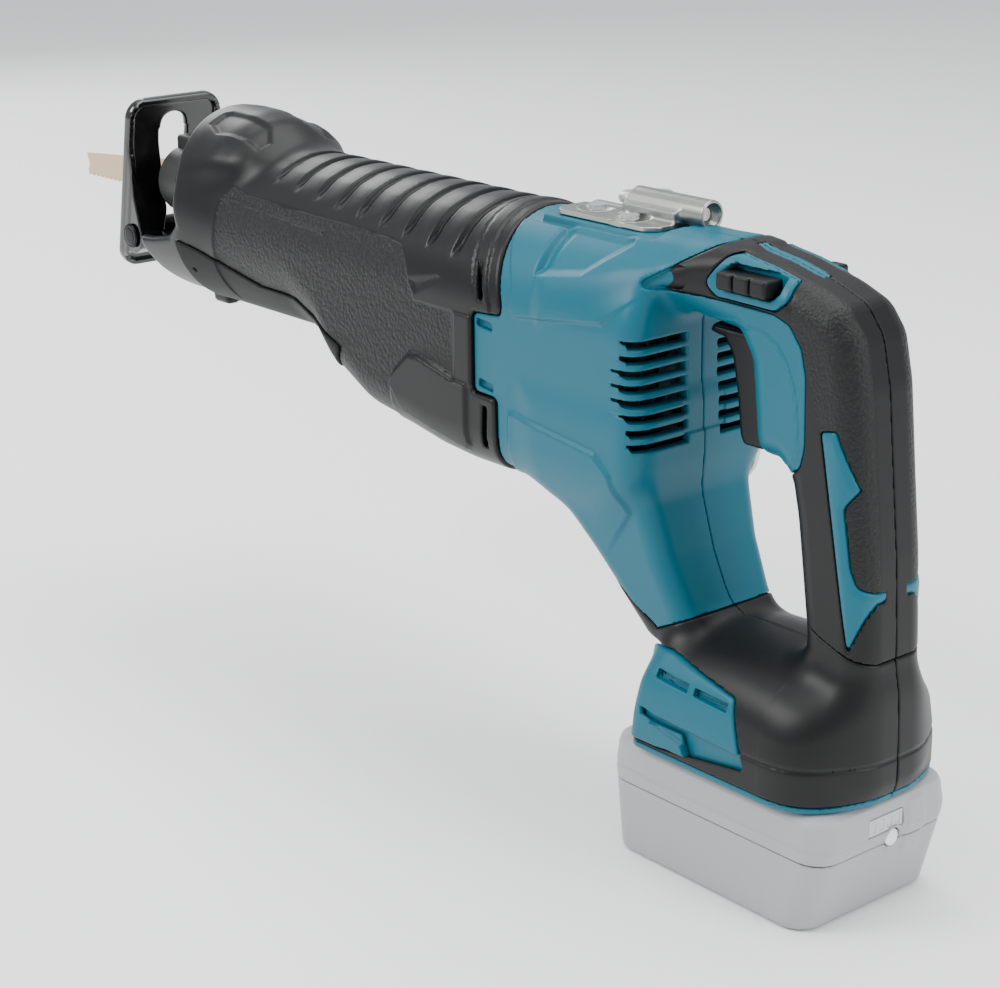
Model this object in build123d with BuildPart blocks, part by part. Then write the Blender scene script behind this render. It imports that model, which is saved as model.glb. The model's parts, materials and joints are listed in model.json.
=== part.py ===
"""Cordless reciprocating saw, as an assembly of separate pieces.

Frame: +Z up, nose towards -X, the tool's left side towards -Y. The origin is on the
underside of the battery pack, below the foot of the D-handle. Millimetres.
"""
from build123d import *
from math import cos, radians, sin
import os

os.makedirs("parts", exist_ok=True)

# ---- driving sizes --------------------------------------------------------------------
pack_length = 116.0         # battery pack, along X
pack_width = 75.0
pack_height = 49.0          # bench to the underside of the tool's foot
pack_centre_x = 3.5
body_width = 75.0           # motor housing
body_height = 107.0
body_length = 92.0          # motor housing ahead of its rear wall
barrel_radius = 39.0        # round front sleeve
flange_radius = 45.5        # hand guard at the front of the sleeve
boot_length = 231.0
belly_depth = 30.5          # how far the gear belly hangs below the round sleeve
shell_wall = 3.0
boot_wall = 4.0
gearcase_wall = 3.5
foot_width = 81.0
foot_height = 46.0
grip_width = 34.0
skin = 2.0                  # thickness of the soft overmould
stroke = 32.0
stator_radius = 29.0
motor_shaft_radius = 4.0
plunger_radius = 8.0
shoe_width = 52.0
shoe_height = 85.0
shoe_plate = 3.0
blade_height = 17.0
blade_reach = 78.0          # blade ahead of the shoe's face
blade_thick = 1.3
hook_wire = 5.0

# ---- clearances -----------------------------------------------------------------------
running = 0.05              # radial, shaft in a bore
joint_gap = 0.3             # between pieces that move past each other

# ---- heights above the tool's foot ------------------------------------------------------
body_top = 195.0
body_bottom = body_top - body_height
barrel_h = body_top - body_width / 2
spindle_h = 168.0
motor_h = 139.0

# ---- stations along X -------------------------------------------------------------------
body_rear = -42.0
body_front = body_rear - body_length
boot_rear = body_front + 17.0
boot_front = boot_rear - boot_length - 17.0
crank_x = body_front - 44.0
shoe_pin_x = boot_front - 48.0

side = Plane(origin=(0, 0, pack_height), x_dir=(1, 0, 0), z_dir=(0, -1, 0))


def section(x):
    """Plane across the tool at station x: local x is +Y, local y is the height above the foot."""
    return Plane(origin=(x, 0, pack_height), x_dir=(0, 1, 0), z_dir=(1, 0, 0))


def level(h):
    """Horizontal plane at height h above the foot."""
    return Plane.XY.offset(pack_height + h)


def finish(part, name):
    part.label = name
    export_step(part, f"parts/{name}.step")


def ring(name, plane, outer, bore, length):
    """A plain ring, such as a bearing or a bush, extruded along the plane's normal."""
    with BuildPart() as piece:
        with BuildSketch(plane):
            Circle(outer)
            Circle(bore, mode=Mode.SUBTRACT)
        extrude(amount=length)
    finish(piece.part, name)


def halves(solid, name):
    """Split a shell on the tool's middle plane into its left (-Y) and right (+Y) pieces."""
    for suffix, keep in (("left", Keep.TOP), ("right", Keep.BOTTOM)):
        with BuildPart() as piece:
            add(solid)
            split(bisect_by=Plane.XZ, keep=keep)
        finish(piece.part, f"{name}_{suffix}")


# ---- outlines seen from the side (x, height above the foot) ---------------------------------
grip_outline = [
    (body_rear - 20, body_top), (-15, body_top + 1.5), (28, body_top - 6), (46, body_top - 19),
    (53, 145), (58, 94), (61, 55), (61, 8), (30, 8), (27, 62), (23, 95), (18, 119), (7, 126),
    (-3, 122), (-9, 160), (-30, 169), (body_rear - 20, 169),
]
arm_outline = [
    (-104, 130), (-101, body_bottom), (-88, 80), (-43, 34), (-36, 8), (-14, 8), (-22, 51),
    (-33, 73), (body_rear - 1, 105), (body_rear - 1, 130),
]
trigger_outline = [
    (-31, 163), (-23, 161.5), (-18.5, 155), (-15.5, 140), (-14, 126), (-11, 122), (-2, 122),
    (4, 128), (4, 158), (-1, 166), (-29, 166),
]


def body_sketch(plane, inset=0.0, bore=None):
    """Cross-section of the motor housing: a round top running into a box with round corners."""
    half = body_width / 2 - inset
    low = body_bottom + inset
    with BuildSketch(plane) as s:
        with Locations((0, barrel_h)):
            Circle(half)
        with Locations((0, (low + barrel_h + 12) / 2)):
            RectangleRounded(2 * half, barrel_h + 12 - low, 20 - inset)
    return s.sketch


def belly_solid(inset, front, rear):
    """The gear belly under the sleeve: the barrel's width, with a stepped underside."""
    half = barrel_radius - inset
    top = barrel_h
    bottom = barrel_h - barrel_radius - belly_depth + inset
    with BuildPart() as belly:
        with BuildSketch(side):
            with BuildLine():
                Polyline(
                    (rear, top), (rear, bottom), (crank_x - 30 + inset, bottom),
                    (crank_x - 47 + inset, bottom + 8), (crank_x - 66 + inset, bottom + 25),
                    (front + inset, bottom + 31), (front + inset, top), close=True,
                )
            make_face()
        extrude(amount=half, both=True)
        with BuildSketch(section(front - 10)):
            with Locations((0, (bottom + top + 12) / 2)):
                RectangleRounded(2 * half, top + 12 - bottom, 18 - inset)
        extrude(amount=rear - front + 20, mode=Mode.INTERSECT)
    return belly.part



# ---- front boot: rubber sleeve over the gear case, with its hand guard ------------------------
flange_h = barrel_h + 7
flange_length = 68.0
mouth_radius = flange_radius - 8
nose_radius = 26.0
nose_rear = boot_front + 35
nose_front = boot_front + 16
tab_low = 107.0
tab_high = 156.0
neck_inset = body_width / 2 - barrel_radius + boot_wall
arm_low = 131.0
arm_high = 139.0
arm_half = 14.0
button_x = boot_front + 19
button_size = 12.0

with BuildPart() as boot:
    with BuildSketch(section(boot_front + 14)):
        with Locations((0, barrel_h)):
            Circle(barrel_radius)
    extrude(amount=boot_rear - boot_front - 14)
    add(belly_solid(0, boot_front + 103, boot_rear))
    with BuildSketch(Plane(origin=(0, 0, pack_height + flange_h), x_dir=(1, 0, 0), z_dir=(0, -1, 0))):
        with BuildLine():
            crown = Spline(
                (boot_front, flange_radius - 3), (boot_front + 12, flange_radius),
                (boot_front + 34, flange_radius - 1.5), (boot_front + flange_length, barrel_radius - 8),
            )
            Polyline(crown @ 1, (boot_front + flange_length, 0), (boot_front, 0), crown @ 0)
        make_face()
    revolve(axis=Axis((0, 0, pack_height + flange_h), (1, 0, 0)))
    # chin below the nose
    with BuildSketch(section(boot_front - 40)):
        with Locations((0, flange_h)):
            Circle(flange_radius - 3)
            Circle(mouth_radius, mode=Mode.SUBTRACT)
        with Locations((0, flange_h + 31.5)):
            Rectangle(100, 100, mode=Mode.SUBTRACT)
    extrude(amount=41)
    with BuildSketch(side):
        with BuildLine():
            Polyline(
                (boot_front - 41, 100), (boot_front - 12, 100), (boot_front - 12, 121),
                (boot_front - 41, 147), close=True,
            )
        make_face()
    extrude(amount=60, both=True, mode=Mode.SUBTRACT)
    # mouth, open to the front
    with BuildSketch(section(boot_front)):
        with Locations((0, flange_h)):
            Circle(mouth_radius)
    with BuildSketch(section(nose_rear)):
        with Locations((0, flange_h)):
            Circle(nose_radius + 1)
    loft(mode=Mode.SUBTRACT)
    # inside: gear case, then the neck of the motor housing
    with BuildSketch(section(nose_rear)):
        with Locations((0, barrel_h)):
            Circle(barrel_radius - boot_wall)
    extrude(amount=boot_rear - nose_rear + 1, mode=Mode.SUBTRACT)
    add(belly_solid(boot_wall, boot_front + 103, body_front), mode=Mode.SUBTRACT)
    with BuildSketch(section(body_front)):
        add(body_sketch(Plane.XY, neck_inset))
    extrude(amount=boot_rear - body_front + 1, mode=Mode.SUBTRACT)
    # sides set back between the upper and lower tabs
    with Locations(((body_front + boot_rear) / 2 + 1, 0, pack_height + (tab_low + tab_high) / 2)):
        Box(boot_rear - body_front + 2, 4 * barrel_radius, tab_high - tab_low, mode=Mode.SUBTRACT)
    # slot for the shoe arm, and the well of its lock button
    with Locations((boot_front + 17, 0, pack_height + (arm_low + arm_high) / 2)):
        Box(37, 2 * arm_half + 4, arm_high - arm_low + 2, mode=Mode.SUBTRACT)
    with Locations((button_x, 0, pack_height + arm_low - 10)):
        Box(button_size + 0.6, button_size + 0.6, 30, mode=Mode.SUBTRACT)
finish(boot.part, "front_boot")

# ---- gear case --------------------------------------------------------------------------------
cover_thick = 6.0
case_rear = body_front - cover_thick
case_radius = barrel_radius - boot_wall
room_radius = case_radius - gearcase_wall
room_front = boot_front + 69
room_floor = body_bottom + boot_wall + gearcase_wall
web_x = crank_x - 52
bush_radius = 13.0
bearing_outer = 14.0
foot_bearing_outer = 11.0
disc_low = 123.0
case_screws = [(-20, 178, 5.0), (20, 178, 5.0), (-25, 102, 6.8), (25, 102, 6.8)]
case_screw_radius = 2.0

with BuildPart() as case:
    with BuildSketch(section(nose_rear)):
        with Locations((0, barrel_h)):
            Circle(case_radius)
    extrude(amount=case_rear - nose_rear)
    add(belly_solid(boot_wall, boot_front + 103, case_rear))
    with BuildSketch(section(nose_front)):
        with Locations((0, flange_h)):
            Circle(nose_radius)
    extrude(amount=nose_rear - nose_front)
    with BuildSketch(section(room_front)):
        with Locations((0, barrel_h)):
            Circle(room_radius)
    extrude(amount=case_rear - room_front, mode=Mode.SUBTRACT)
    add(belly_solid(boot_wall + gearcase_wall, boot_front + 103, case_rear), mode=Mode.SUBTRACT)
    # web that carries the rear plunger bush
    with BuildSketch(section(web_x)):
        with Locations((0, barrel_h)):
            Circle(room_radius + 0.5)
    extrude(amount=8)
    # column for the crank bearings
    with BuildSketch(level(room_floor - 1)):
        with Locations((crank_x, 0)):
            Circle(bearing_outer + 4)
    extrude(amount=disc_low - 2 - room_floor + 1)
    with BuildSketch(level(room_floor)):
        with Locations((crank_x, 0)):
            Circle(foot_bearing_outer)
    extrude(amount=30, mode=Mode.SUBTRACT)
    with BuildSketch(level(disc_low - 11)):
        with Locations((crank_x, 0)):
            Circle(bearing_outer)
    extrude(amount=12, mode=Mode.SUBTRACT)
    for y, h, boss in case_screws:
        with BuildSketch(section(case_rear - 16)):
            with Locations((y, h)):
                Circle(boss)
        extrude(amount=16)
    # bores
    for y, h, boss in case_screws:
        with BuildSketch(section(case_rear - 12)):
            with Locations((y, h)):
                Circle(case_screw_radius)
        extrude(amount=12, mode=Mode.SUBTRACT)
    with BuildSketch(section(nose_front)):
        with Locations((0, spindle_h)):
            Circle(bush_radius)
    extrude(amount=web_x + 8 - nose_front, mode=Mode.SUBTRACT)
    with Locations(((nose_front + room_front) / 2 + 4, 0, pack_height + (arm_low + arm_high) / 2)):
        Box(room_front - nose_front + 16, 2 * arm_half + 0.6, arm_high - arm_low + 0.6, mode=Mode.SUBTRACT)
finish(case.part, "gear_case")

front_bearing_outer = 12.0
with BuildPart() as cover:
    with BuildSketch(section(case_rear)):
        with Locations((0, barrel_h)):
            Circle(case_radius)
    extrude(amount=cover_thick)
    add(belly_solid(boot_wall, case_rear - 1, body_front))
    with Locations((case_rear - 25, 0, pack_height + barrel_h)):
        Box(50, 120, 200, mode=Mode.SUBTRACT)
    with BuildSketch(section(body_front - 1)):
        with Locations((0, motor_h)):
            Circle(front_bearing_outer + 4)
    extrude(amount=5)
    with BuildSketch(section(case_rear)):
        with Locations((0, motor_h)):
            Circle(motor_shaft_radius + 2)
    extrude(amount=20, mode=Mode.SUBTRACT)
    with BuildSketch(section(case_rear + 1)):
        with Locations((0, motor_h)):
            Circle(front_bearing_outer)
    extrude(amount=20, mode=Mode.SUBTRACT)
    for y, h, boss in case_screws:
        with BuildSketch(section(case_rear)):
            with Locations((y, h)):
                Circle(case_screw_radius)
        extrude(amount=cover_thick, mode=Mode.SUBTRACT)
finish(cover.part, "gear_case_cover")

with BuildPart() as screws:
    for y, h, boss in case_screws:
        with BuildSketch(section(case_rear - 12)):
            with Locations((y, h)):
                Circle(case_screw_radius)
        extrude(amount=12 + cover_thick)
        with BuildSketch(section(body_front)):
            with Locations((y, h)):
                Circle(3.1)
        extrude(amount=3)
finish(screws.part, "gear_case_screws")

def at(plane, x, y):
    """The plane moved to its own local point (x, y)."""
    return Plane(plane * Pos(x, y))


ring("plunger_front_bush", at(section(nose_front + 8), 0, spindle_h), bush_radius,
     plunger_radius + running, 30)
ring("plunger_seal", at(section(nose_front), 0, spindle_h), bush_radius, plunger_radius + 0.4, 6)
ring("plunger_rear_bush", at(section(web_x), 0, spindle_h), bush_radius, plunger_radius + running, 8)
crank_shaft_radius = 7.0
ring("crank_upper_bearing", at(level(disc_low - 11), crank_x, 0), bearing_outer,
     crank_shaft_radius + running, 9)
ring("crank_lower_bearing", at(level(room_floor + 1), crank_x, 0), foot_bearing_outer,
     crank_shaft_radius + running, 8)
ring("motor_front_bearing", at(section(case_rear + 1), 0, motor_h), front_bearing_outer,
     motor_shaft_radius + running, 8)
rear_bearing_outer = 9.5
ring("motor_rear_bearing", at(section(body_rear - 14), 0, motor_h), rear_bearing_outer,
     motor_shaft_radius + running, 7)

# ---- crank ------------------------------------------------------------------------------------
gear_teeth = 36
pinion_teeth = 9
pinion_pitch = 6.5
gear_pitch = pinion_pitch * gear_teeth / pinion_teeth
disc_top = motor_h - pinion_pitch - 1.5
tooth_top = motor_h - pinion_pitch + 0.5
pinion_tip = pinion_pitch + 1.1
tooth_thick = 1.0
pin_radius = 3.5
roller_radius = 6.0
yoke_low = 152.5

with BuildPart() as crank_gear:
    with BuildSketch(level(disc_low)):
        with Locations((crank_x, 0)):
            Circle(gear_pitch + 4)
    extrude(amount=disc_top - disc_low)
    with BuildSketch(level(disc_top)):
        with Locations((crank_x, 0)):
            with PolarLocations(gear_pitch, gear_teeth, start_angle=180 / gear_teeth):
                Rectangle(7, tooth_thick)
    extrude(amount=tooth_top - disc_top)
    with BuildSketch(level(room_floor + 1.2)):
        with Locations((crank_x, 0)):
            Circle(crank_shaft_radius)
    extrude(amount=disc_low - room_floor - 1.2)
    with BuildSketch(level(disc_low)):
        with Locations((crank_x - stroke / 2, 0)):
            Circle(pin_radius)
    extrude(amount=disc_top - disc_low, mode=Mode.SUBTRACT)
finish(crank_gear.part, "crank_gear")

with BuildPart() as crank_pin:
    with BuildSketch(level(disc_low)):
        with Locations((crank_x - stroke / 2, 0)):
            Circle(pin_radius)
    extrude(amount=yoke_low - 1 - disc_low)
finish(crank_pin.part, "crank_pin")
ring("crank_roller", at(level(disc_top + 5), crank_x - stroke / 2, 0), roller_radius,
     pin_radius + 0.01, yoke_low - 2 - disc_top - 5)

# ---- motor ------------------------------------------------------------------------------------
stator_front = body_front + 18
stator_length = 42.0
rotor_radius = 16.5
coil_length = 6.0
pinion_front = crank_x + gear_pitch - 2.5
pinion_length = 6.0
with BuildPart() as shaft:
    with BuildSketch(at(section(pinion_front), 0, motor_h)):
        Circle(motor_shaft_radius)
    extrude(amount=body_rear - 6 - pinion_front)
finish(shaft.part, "motor_shaft")

with BuildPart() as pinion:
    with BuildSketch(at(section(pinion_front), 0, motor_h)):
        Circle(pinion_pitch - 1.6)
        with PolarLocations((pinion_tip + motor_shaft_radius) / 2, pinion_teeth, start_angle=-90):
            Rectangle(pinion_tip - motor_shaft_radius, tooth_thick)
        Circle(motor_shaft_radius, mode=Mode.SUBTRACT)
    extrude(amount=pinion_length)
finish(pinion.part, "motor_pinion")

ring("rotor_core", at(section(stator_front + 1), 0, motor_h), rotor_radius, motor_shaft_radius,
     stator_length - 2)
with BuildPart() as fan:
    with BuildSketch(at(section(body_rear - 24), 0, motor_h)):
        Circle(stator_radius - 2)
        Circle(motor_shaft_radius, mode=Mode.SUBTRACT)
    extrude(amount=1.6)
    with BuildSketch(at(section(body_rear - 22.4), 0, motor_h)):
        Circle(9)
        Circle(motor_shaft_radius, mode=Mode.SUBTRACT)
    extrude(amount=5)
    with BuildSketch(at(section(body_rear - 22.4), 0, motor_h)):
        with PolarLocations(17, 11):
            Rectangle(18, 1.2)
    extrude(amount=5)
finish(fan.part, "cooling_fan")

with BuildPart() as stator:
    with BuildSketch(at(section(stator_front), 0, motor_h)):
        Circle(stator_radius)
        Circle(rotor_radius + 0.6, mode=Mode.SUBTRACT)
        with PolarLocations(rotor_radius + 6, 6):
            Rectangle(7, 7, mode=Mode.SUBTRACT)
    extrude(amount=stator_length)
finish(stator.part, "stator")
with BuildPart() as coils:
    for x in (stator_front - coil_length, stator_front + stator_length):
        with BuildSketch(at(section(x), 0, motor_h)):
            Circle(stator_radius - 2.5)
            Circle(rotor_radius + 2, mode=Mode.SUBTRACT)
        extrude(amount=coil_length)
finish(coils.part, "stator_coils")

# ---- plunger and blade clamp ----------------------------------------------------------------------
clamp_front = shoe_pin_x + 6
clamp_length = 26.0
clamp_radius = 12.5
yoke_x = crank_x - stroke / 2
with BuildPart() as plunger:
    with BuildSketch(at(section(clamp_front + clamp_length), 0, spindle_h)):
        Circle(plunger_radius)
    extrude(amount=yoke_x + 8 - clamp_front - clamp_length)
    with Locations((yoke_x, 0, pack_height + yoke_low + 5.75)):
        Box(24, stroke + 18, 11.5)
    with Locations((yoke_x, 0, pack_height + yoke_low)):
        Box(2 * roller_radius + 0.6, stroke + 13, 18, mode=Mode.SUBTRACT)
finish(plunger.part, "plunger")

blade_slot = blade_thick + 0.1
rod_radius = 2.4
rod_y = -4.7
with BuildPart() as clamp:
    with BuildSketch(at(section(clamp_front), 0, spindle_h)):
        Circle(clamp_radius)
    extrude(amount=clamp_length)
    with BuildSketch(at(section(clamp_front - 15), 0, spindle_h)):
        with Locations((rod_y, -3)):
            Circle(rod_radius)
    extrude(amount=20)
    with Locations((clamp_front + 7, 0, pack_height + spindle_h)):
        Box(16, blade_slot, blade_height + 3, mode=Mode.SUBTRACT)
    fillet(clamp.faces().sort_by(Axis.X)[1].edges().sort_by(SortBy.LENGTH)[-1], 2)
finish(clamp.part, "blade_clamp")

with BuildPart() as sleeve:
    with BuildSketch(at(section(clamp_front + 6), 0, spindle_h)):
        Circle(clamp_radius + 4)
        with Locations((0, clamp_radius + 5)):
            RectangleRounded(9, 9, 2)
        Circle(clamp_radius + running, mode=Mode.SUBTRACT)
    extrude(amount=15)
finish(sleeve.part, "clamp_sleeve")

tooth_pitch = 4.2
tooth_depth = 2.0
blade_tip = shoe_pin_x - 5 - blade_reach
blade_root = clamp_front + 13
blade_drop = 5.5            # how far the tip hangs below the line of the shank
blade_free = clamp_front - 4 - blade_tip
with BuildPart() as blade:
    with BuildSketch(at(side, 0, spindle_h)):
        edge_rise = (blade_height - 11.5) / (blade_root - blade_tip)
        teeth = int((clamp_front - 6 - blade_tip) / tooth_pitch)
        points = []
        for i in range(teeth):
            x = blade_tip + 1 + i * tooth_pitch
            low = -5.5 - edge_rise * (x - blade_tip) - blade_drop * (clamp_front - 4 - x) / blade_free
            points += [(x, low), (x + 1.2, low + tooth_depth)]
        with BuildLine():
            Polyline(
                *points, (clamp_front - 4, -8), (blade_root, -8), (blade_root, 8), (clamp_front - 4, 8),
                (blade_tip, 6 - blade_drop), (blade_tip + 1.4, 2 - blade_drop),
                (blade_tip + 2, -blade_drop), (blade_tip + 0.6, -2.5 - blade_drop), close=True,
            )
        make_face()
    extrude(amount=blade_thick / 2, both=True)
finish(blade.part, "blade")

# ---- shoe ----------------------------------------------------------------------------------------
shoe_lean = 11.0
pin_h = 141.0
shoe_pin_radius = 4.0
knuckle_radius = 7.0
ear_thick = 3.0
lean = radians(shoe_lean)
shoe_face = Plane(
    origin=(shoe_pin_x, 0, pack_height + pin_h), x_dir=(0, 1, 0), z_dir=(cos(lean), 0, -sin(lean))
)
shoe_side = Plane(
    origin=(shoe_pin_x, 0, pack_height + pin_h), x_dir=(cos(lean), 0, -sin(lean)), z_dir=(0, -1, 0)
)
with BuildPart() as shoe:
    with BuildSketch(shoe_face.offset(-knuckle_radius - 1 - shoe_plate)):
        with Locations((0, shoe_height / 2 - 19)):
            RectangleRounded(shoe_width, shoe_height, 6)
        with Locations((0, 27)):
            SlotOverall(64, 15.4, rotation=90, mode=Mode.SUBTRACT)
    extrude(amount=shoe_plate)
    for low in (-shoe_width / 2, shoe_width / 2 - ear_thick):
        with BuildSketch(shoe_side.offset(low)):
            with BuildLine():
                Polyline(
                    (-knuckle_radius - 1, -14), (-knuckle_radius - 1, 46), (-4, 26), (5, 8), (7, 0),
                    (5, -7), (-2, -13), close=True,
                )
            make_face()
            Circle(shoe_pin_radius, mode=Mode.SUBTRACT)
        extrude(amount=ear_thick)
finish(shoe.part, "shoe")

with BuildPart() as shoe_pin:
    with BuildSketch(shoe_side.offset(-shoe_width / 2 - 2)):
        Circle(shoe_pin_radius)
    extrude(amount=shoe_width + 4)
    with BuildSketch(shoe_side.offset(shoe_width / 2)):
        Circle(6)
    extrude(amount=2)
    with BuildSketch(shoe_side.offset(-shoe_width / 2 - 2)):
        Circle(6)
    extrude(amount=2)
finish(shoe_pin.part, "shoe_pin")

arm_length = 122.0
with BuildPart() as shoe_arm:
    with Locations((shoe_pin_x + 8 + arm_length / 2, 0, pack_height + (arm_low + arm_high) / 2)):
        Box(arm_length - 16, 2 * arm_half, arm_high - arm_low)
    with BuildSketch(side):
        with Locations((shoe_pin_x, pin_h)):
            Circle(knuckle_radius)
        with Locations((shoe_pin_x + 10, (arm_low + arm_high) / 2 + 0.5)):
            Rectangle(20, arm_high - arm_low - 1)
    extrude(amount=shoe_width / 2 - ear_thick - 0.5, both=True)
    with BuildSketch(side):
        with Locations((shoe_pin_x, pin_h)):
            Circle(shoe_pin_radius + running)
    extrude(amount=shoe_width, both=True, mode=Mode.SUBTRACT)
    # detent notches under the arm
    for i in range(4):
        with Locations((button_x + 10 * i, 0, pack_height + arm_low)):
            Box(4, 2 * arm_half, 2, mode=Mode.SUBTRACT)
finish(shoe_arm.part, "shoe_arm")

with BuildPart() as lock_button:
    with Locations((button_x, 0, pack_height + (116 + arm_low - 5) / 2)):
        Box(button_size, button_size, arm_low - 5 - 116)
    fillet(lock_button.edges().group_by(Axis.Z)[0], 1.5)
finish(lock_button.part, "shoe_lock_button")

with BuildPart() as lower_cover:
    with BuildSketch(section(boot_front + 64)):
        with Locations((0, barrel_h)):
            Circle(barrel_radius + 1.4)
            Circle(barrel_radius, mode=Mode.SUBTRACT)
    extrude(amount=78)
    with BuildSketch(side):
        with BuildLine():
            Polyline(
                (boot_front + 60, 145), (boot_front + 78, 139), (boot_front + 102, 138),
                (boot_front + 144, 126), (boot_front + 144, 100), (boot_front + 60, 100), close=True,
            )
        make_face()
    extrude(amount=60, both=True, mode=Mode.INTERSECT)
    add(belly_solid(0, boot_front + 103, boot_rear), mode=Mode.SUBTRACT)
    add(boot.part, mode=Mode.SUBTRACT)
finish(lower_cover.part, "lower_cover")
# ---- motor housing, arm, handle and foot --------------------------------------------------------
grip_half = grip_width / 2
arm_width = 50.0
foot_rear = 61.0
foot_front = -38.0
foot_bend = 30.0            # the rear of the foot's plan is half an ellipse this deep
foot_lean = 6.0             # how far the foot's sides lean in over its height
rail_width = 54.0
rail_height = 12.0
rail_front = -48.0
rail_rear = 42.0
teal_front = [
    (body_rear - 20, 160), (body_rear - 20, 182), (-3, 178.5), (14, 178.5), (22, 175), (27, 168),
    (28, 150), (27, 131), (20, 118), (-14, 112), (-20, 160),
]
panel_outline = [(foot_front - 4, 3), (-22, 3), (24, 3), (14, 36), (-24, 40), (foot_front - 4, 40)]
arrow_outline = [
    (37, 140), (44, 141.5), (53, 121), (48.5, 114), (52, 92), (54.5, 85), (59, 82), (52.6, 59.6),
]


def side_edges(builder, half):
    """The edges round both flat sides, at y = -half and y = +half."""
    flat = builder.edges().filter_by(lambda e: abs(abs(e.center().Y) - half) < 0.01)
    return flat.filter_by(lambda e: e.bounding_box().size.Y < 0.01)


def grip_solid(inset):
    """The top bar and grip as one hooked bar with rounded edges."""
    half = grip_half + 1.5 - inset
    with BuildPart() as bar:
        with BuildSketch(side):
            with BuildLine():
                Polyline(*grip_outline, close=True)
            make_face()
            if inset:
                offset(amount=-inset, kind=Kind.INTERSECTION, mode=Mode.REPLACE)
        extrude(amount=half, both=True)
        fillet(side_edges(bar, half), 8 - inset)
    return bar.part


def foot_solid(inset):
    """The foot above the pack: square in front, round behind, leaning inwards."""
    with BuildPart() as foot:
        for h, lean_in in ((0, 0), (foot_height - inset, foot_lean)):
            front = foot_front + inset + lean_in
            middle = foot_rear - foot_bend
            half = foot_width / 2 - inset - lean_in
            rear = foot_rear - inset - lean_in / 3
            with BuildSketch(level(h)):
                with BuildLine():
                    Polyline((middle, -half), (front, -half), (front, half), (middle, half))
                    EllipticalCenterArc((middle, 0), rear - middle, half, start_angle=-90, arc_size=180)
                make_face()
        loft()
        fillet(foot.faces().sort_by(Axis.Z)[-1].edges(), 9 - inset)
        fillet(foot.faces().sort_by(Axis.X)[0].edges().filter_by(lambda e: e.bounding_box().size.Z > 20), 6)
    return foot.part


def side_prism(outline, half=60.0):
    """A straight prism across the whole tool, with the given side outline."""
    with BuildPart() as prism:
        with BuildSketch(side):
            with BuildLine():
                Polyline(*outline, close=True)
            make_face()
        extrude(amount=half, both=True)
    return prism.part


def arm_solid(inset):
    with BuildPart() as arm:
        with BuildSketch(side):
            with BuildLine():
                Polyline(*arm_outline, close=True)
            make_face()
            if inset:
                offset(amount=-inset, kind=Kind.INTERSECTION, mode=Mode.REPLACE)
        extrude(amount=arm_width / 2 - inset, both=True)
        fillet(side_edges(arm, arm_width / 2 - inset), 7 - inset)
    return arm.part


with BuildPart() as cheeks:
    with BuildSketch(section(body_front)):
        add(body_sketch(Plane.XY))
    extrude(amount=boot_rear - body_front)
    with Locations(((body_front + boot_rear) / 2, 0, pack_height + (tab_low + tab_high) / 2)):
        Box(40, 200, tab_high - tab_low - 2 * joint_gap, mode=Mode.INTERSECT)

with BuildPart() as body_block:
    with BuildSketch(section(boot_rear)):
        add(body_sketch(Plane.XY))
    extrude(amount=body_rear - boot_rear)
    with BuildSketch(section(body_front)):
        add(body_sketch(Plane.XY, neck_inset))
    extrude(amount=boot_rear - body_front)
    # the sides between the boot's tabs
    add(cheeks.part)

grip_outer = grip_solid(0)
grip_core = grip_solid(skin)
foot_outer = foot_solid(0)
foot_core = foot_solid(skin)
arm_outer = arm_solid(0)
teal_prism = side_prism(teal_front)
panel_prism = side_prism(panel_outline)
arrow_prism = side_prism(arrow_outline)

bracket_front = boot_rear + 2
bracket_length = 58.0
bracket_half = 13.0
bracket_screws = ((bracket_front + 14, 0), (bracket_front + 38, -5))
pad_top = body_top + 0.4
vent_count = 8
vent_pitch = 5.7
vent_low = 118.0
vent_height = 2.6
lock_off_x = -1.0
lock_off_h = 187.0
lock_off_length = 25.0
lock_off_height = 7.0
trigger_width = 20.0
window_rear = 10.0          # room for the pulled trigger
window_length = 42.0
window_height = 47.0
window_mid = 144.0
housing_bosses = [
    (-68, 92, arm_width / 2), (-52, 62, arm_width / 2), (41, 120, grip_half), (46, 66, grip_half),
    (36, 174, grip_half), (body_rear - 12, 100, body_width / 2),
]
boss_radius = 4.0
screw_radius = 1.6

with BuildPart() as bracket_pad:
    with Locations((bracket_front + bracket_length / 2, 0, pack_height + pad_top - 3)):
        Box(bracket_length + 4, 2 * bracket_half + 2, 6)

with BuildPart() as trigger_guard:
    add(grip_outer)
    add(teal_prism, mode=Mode.INTERSECT)

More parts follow.
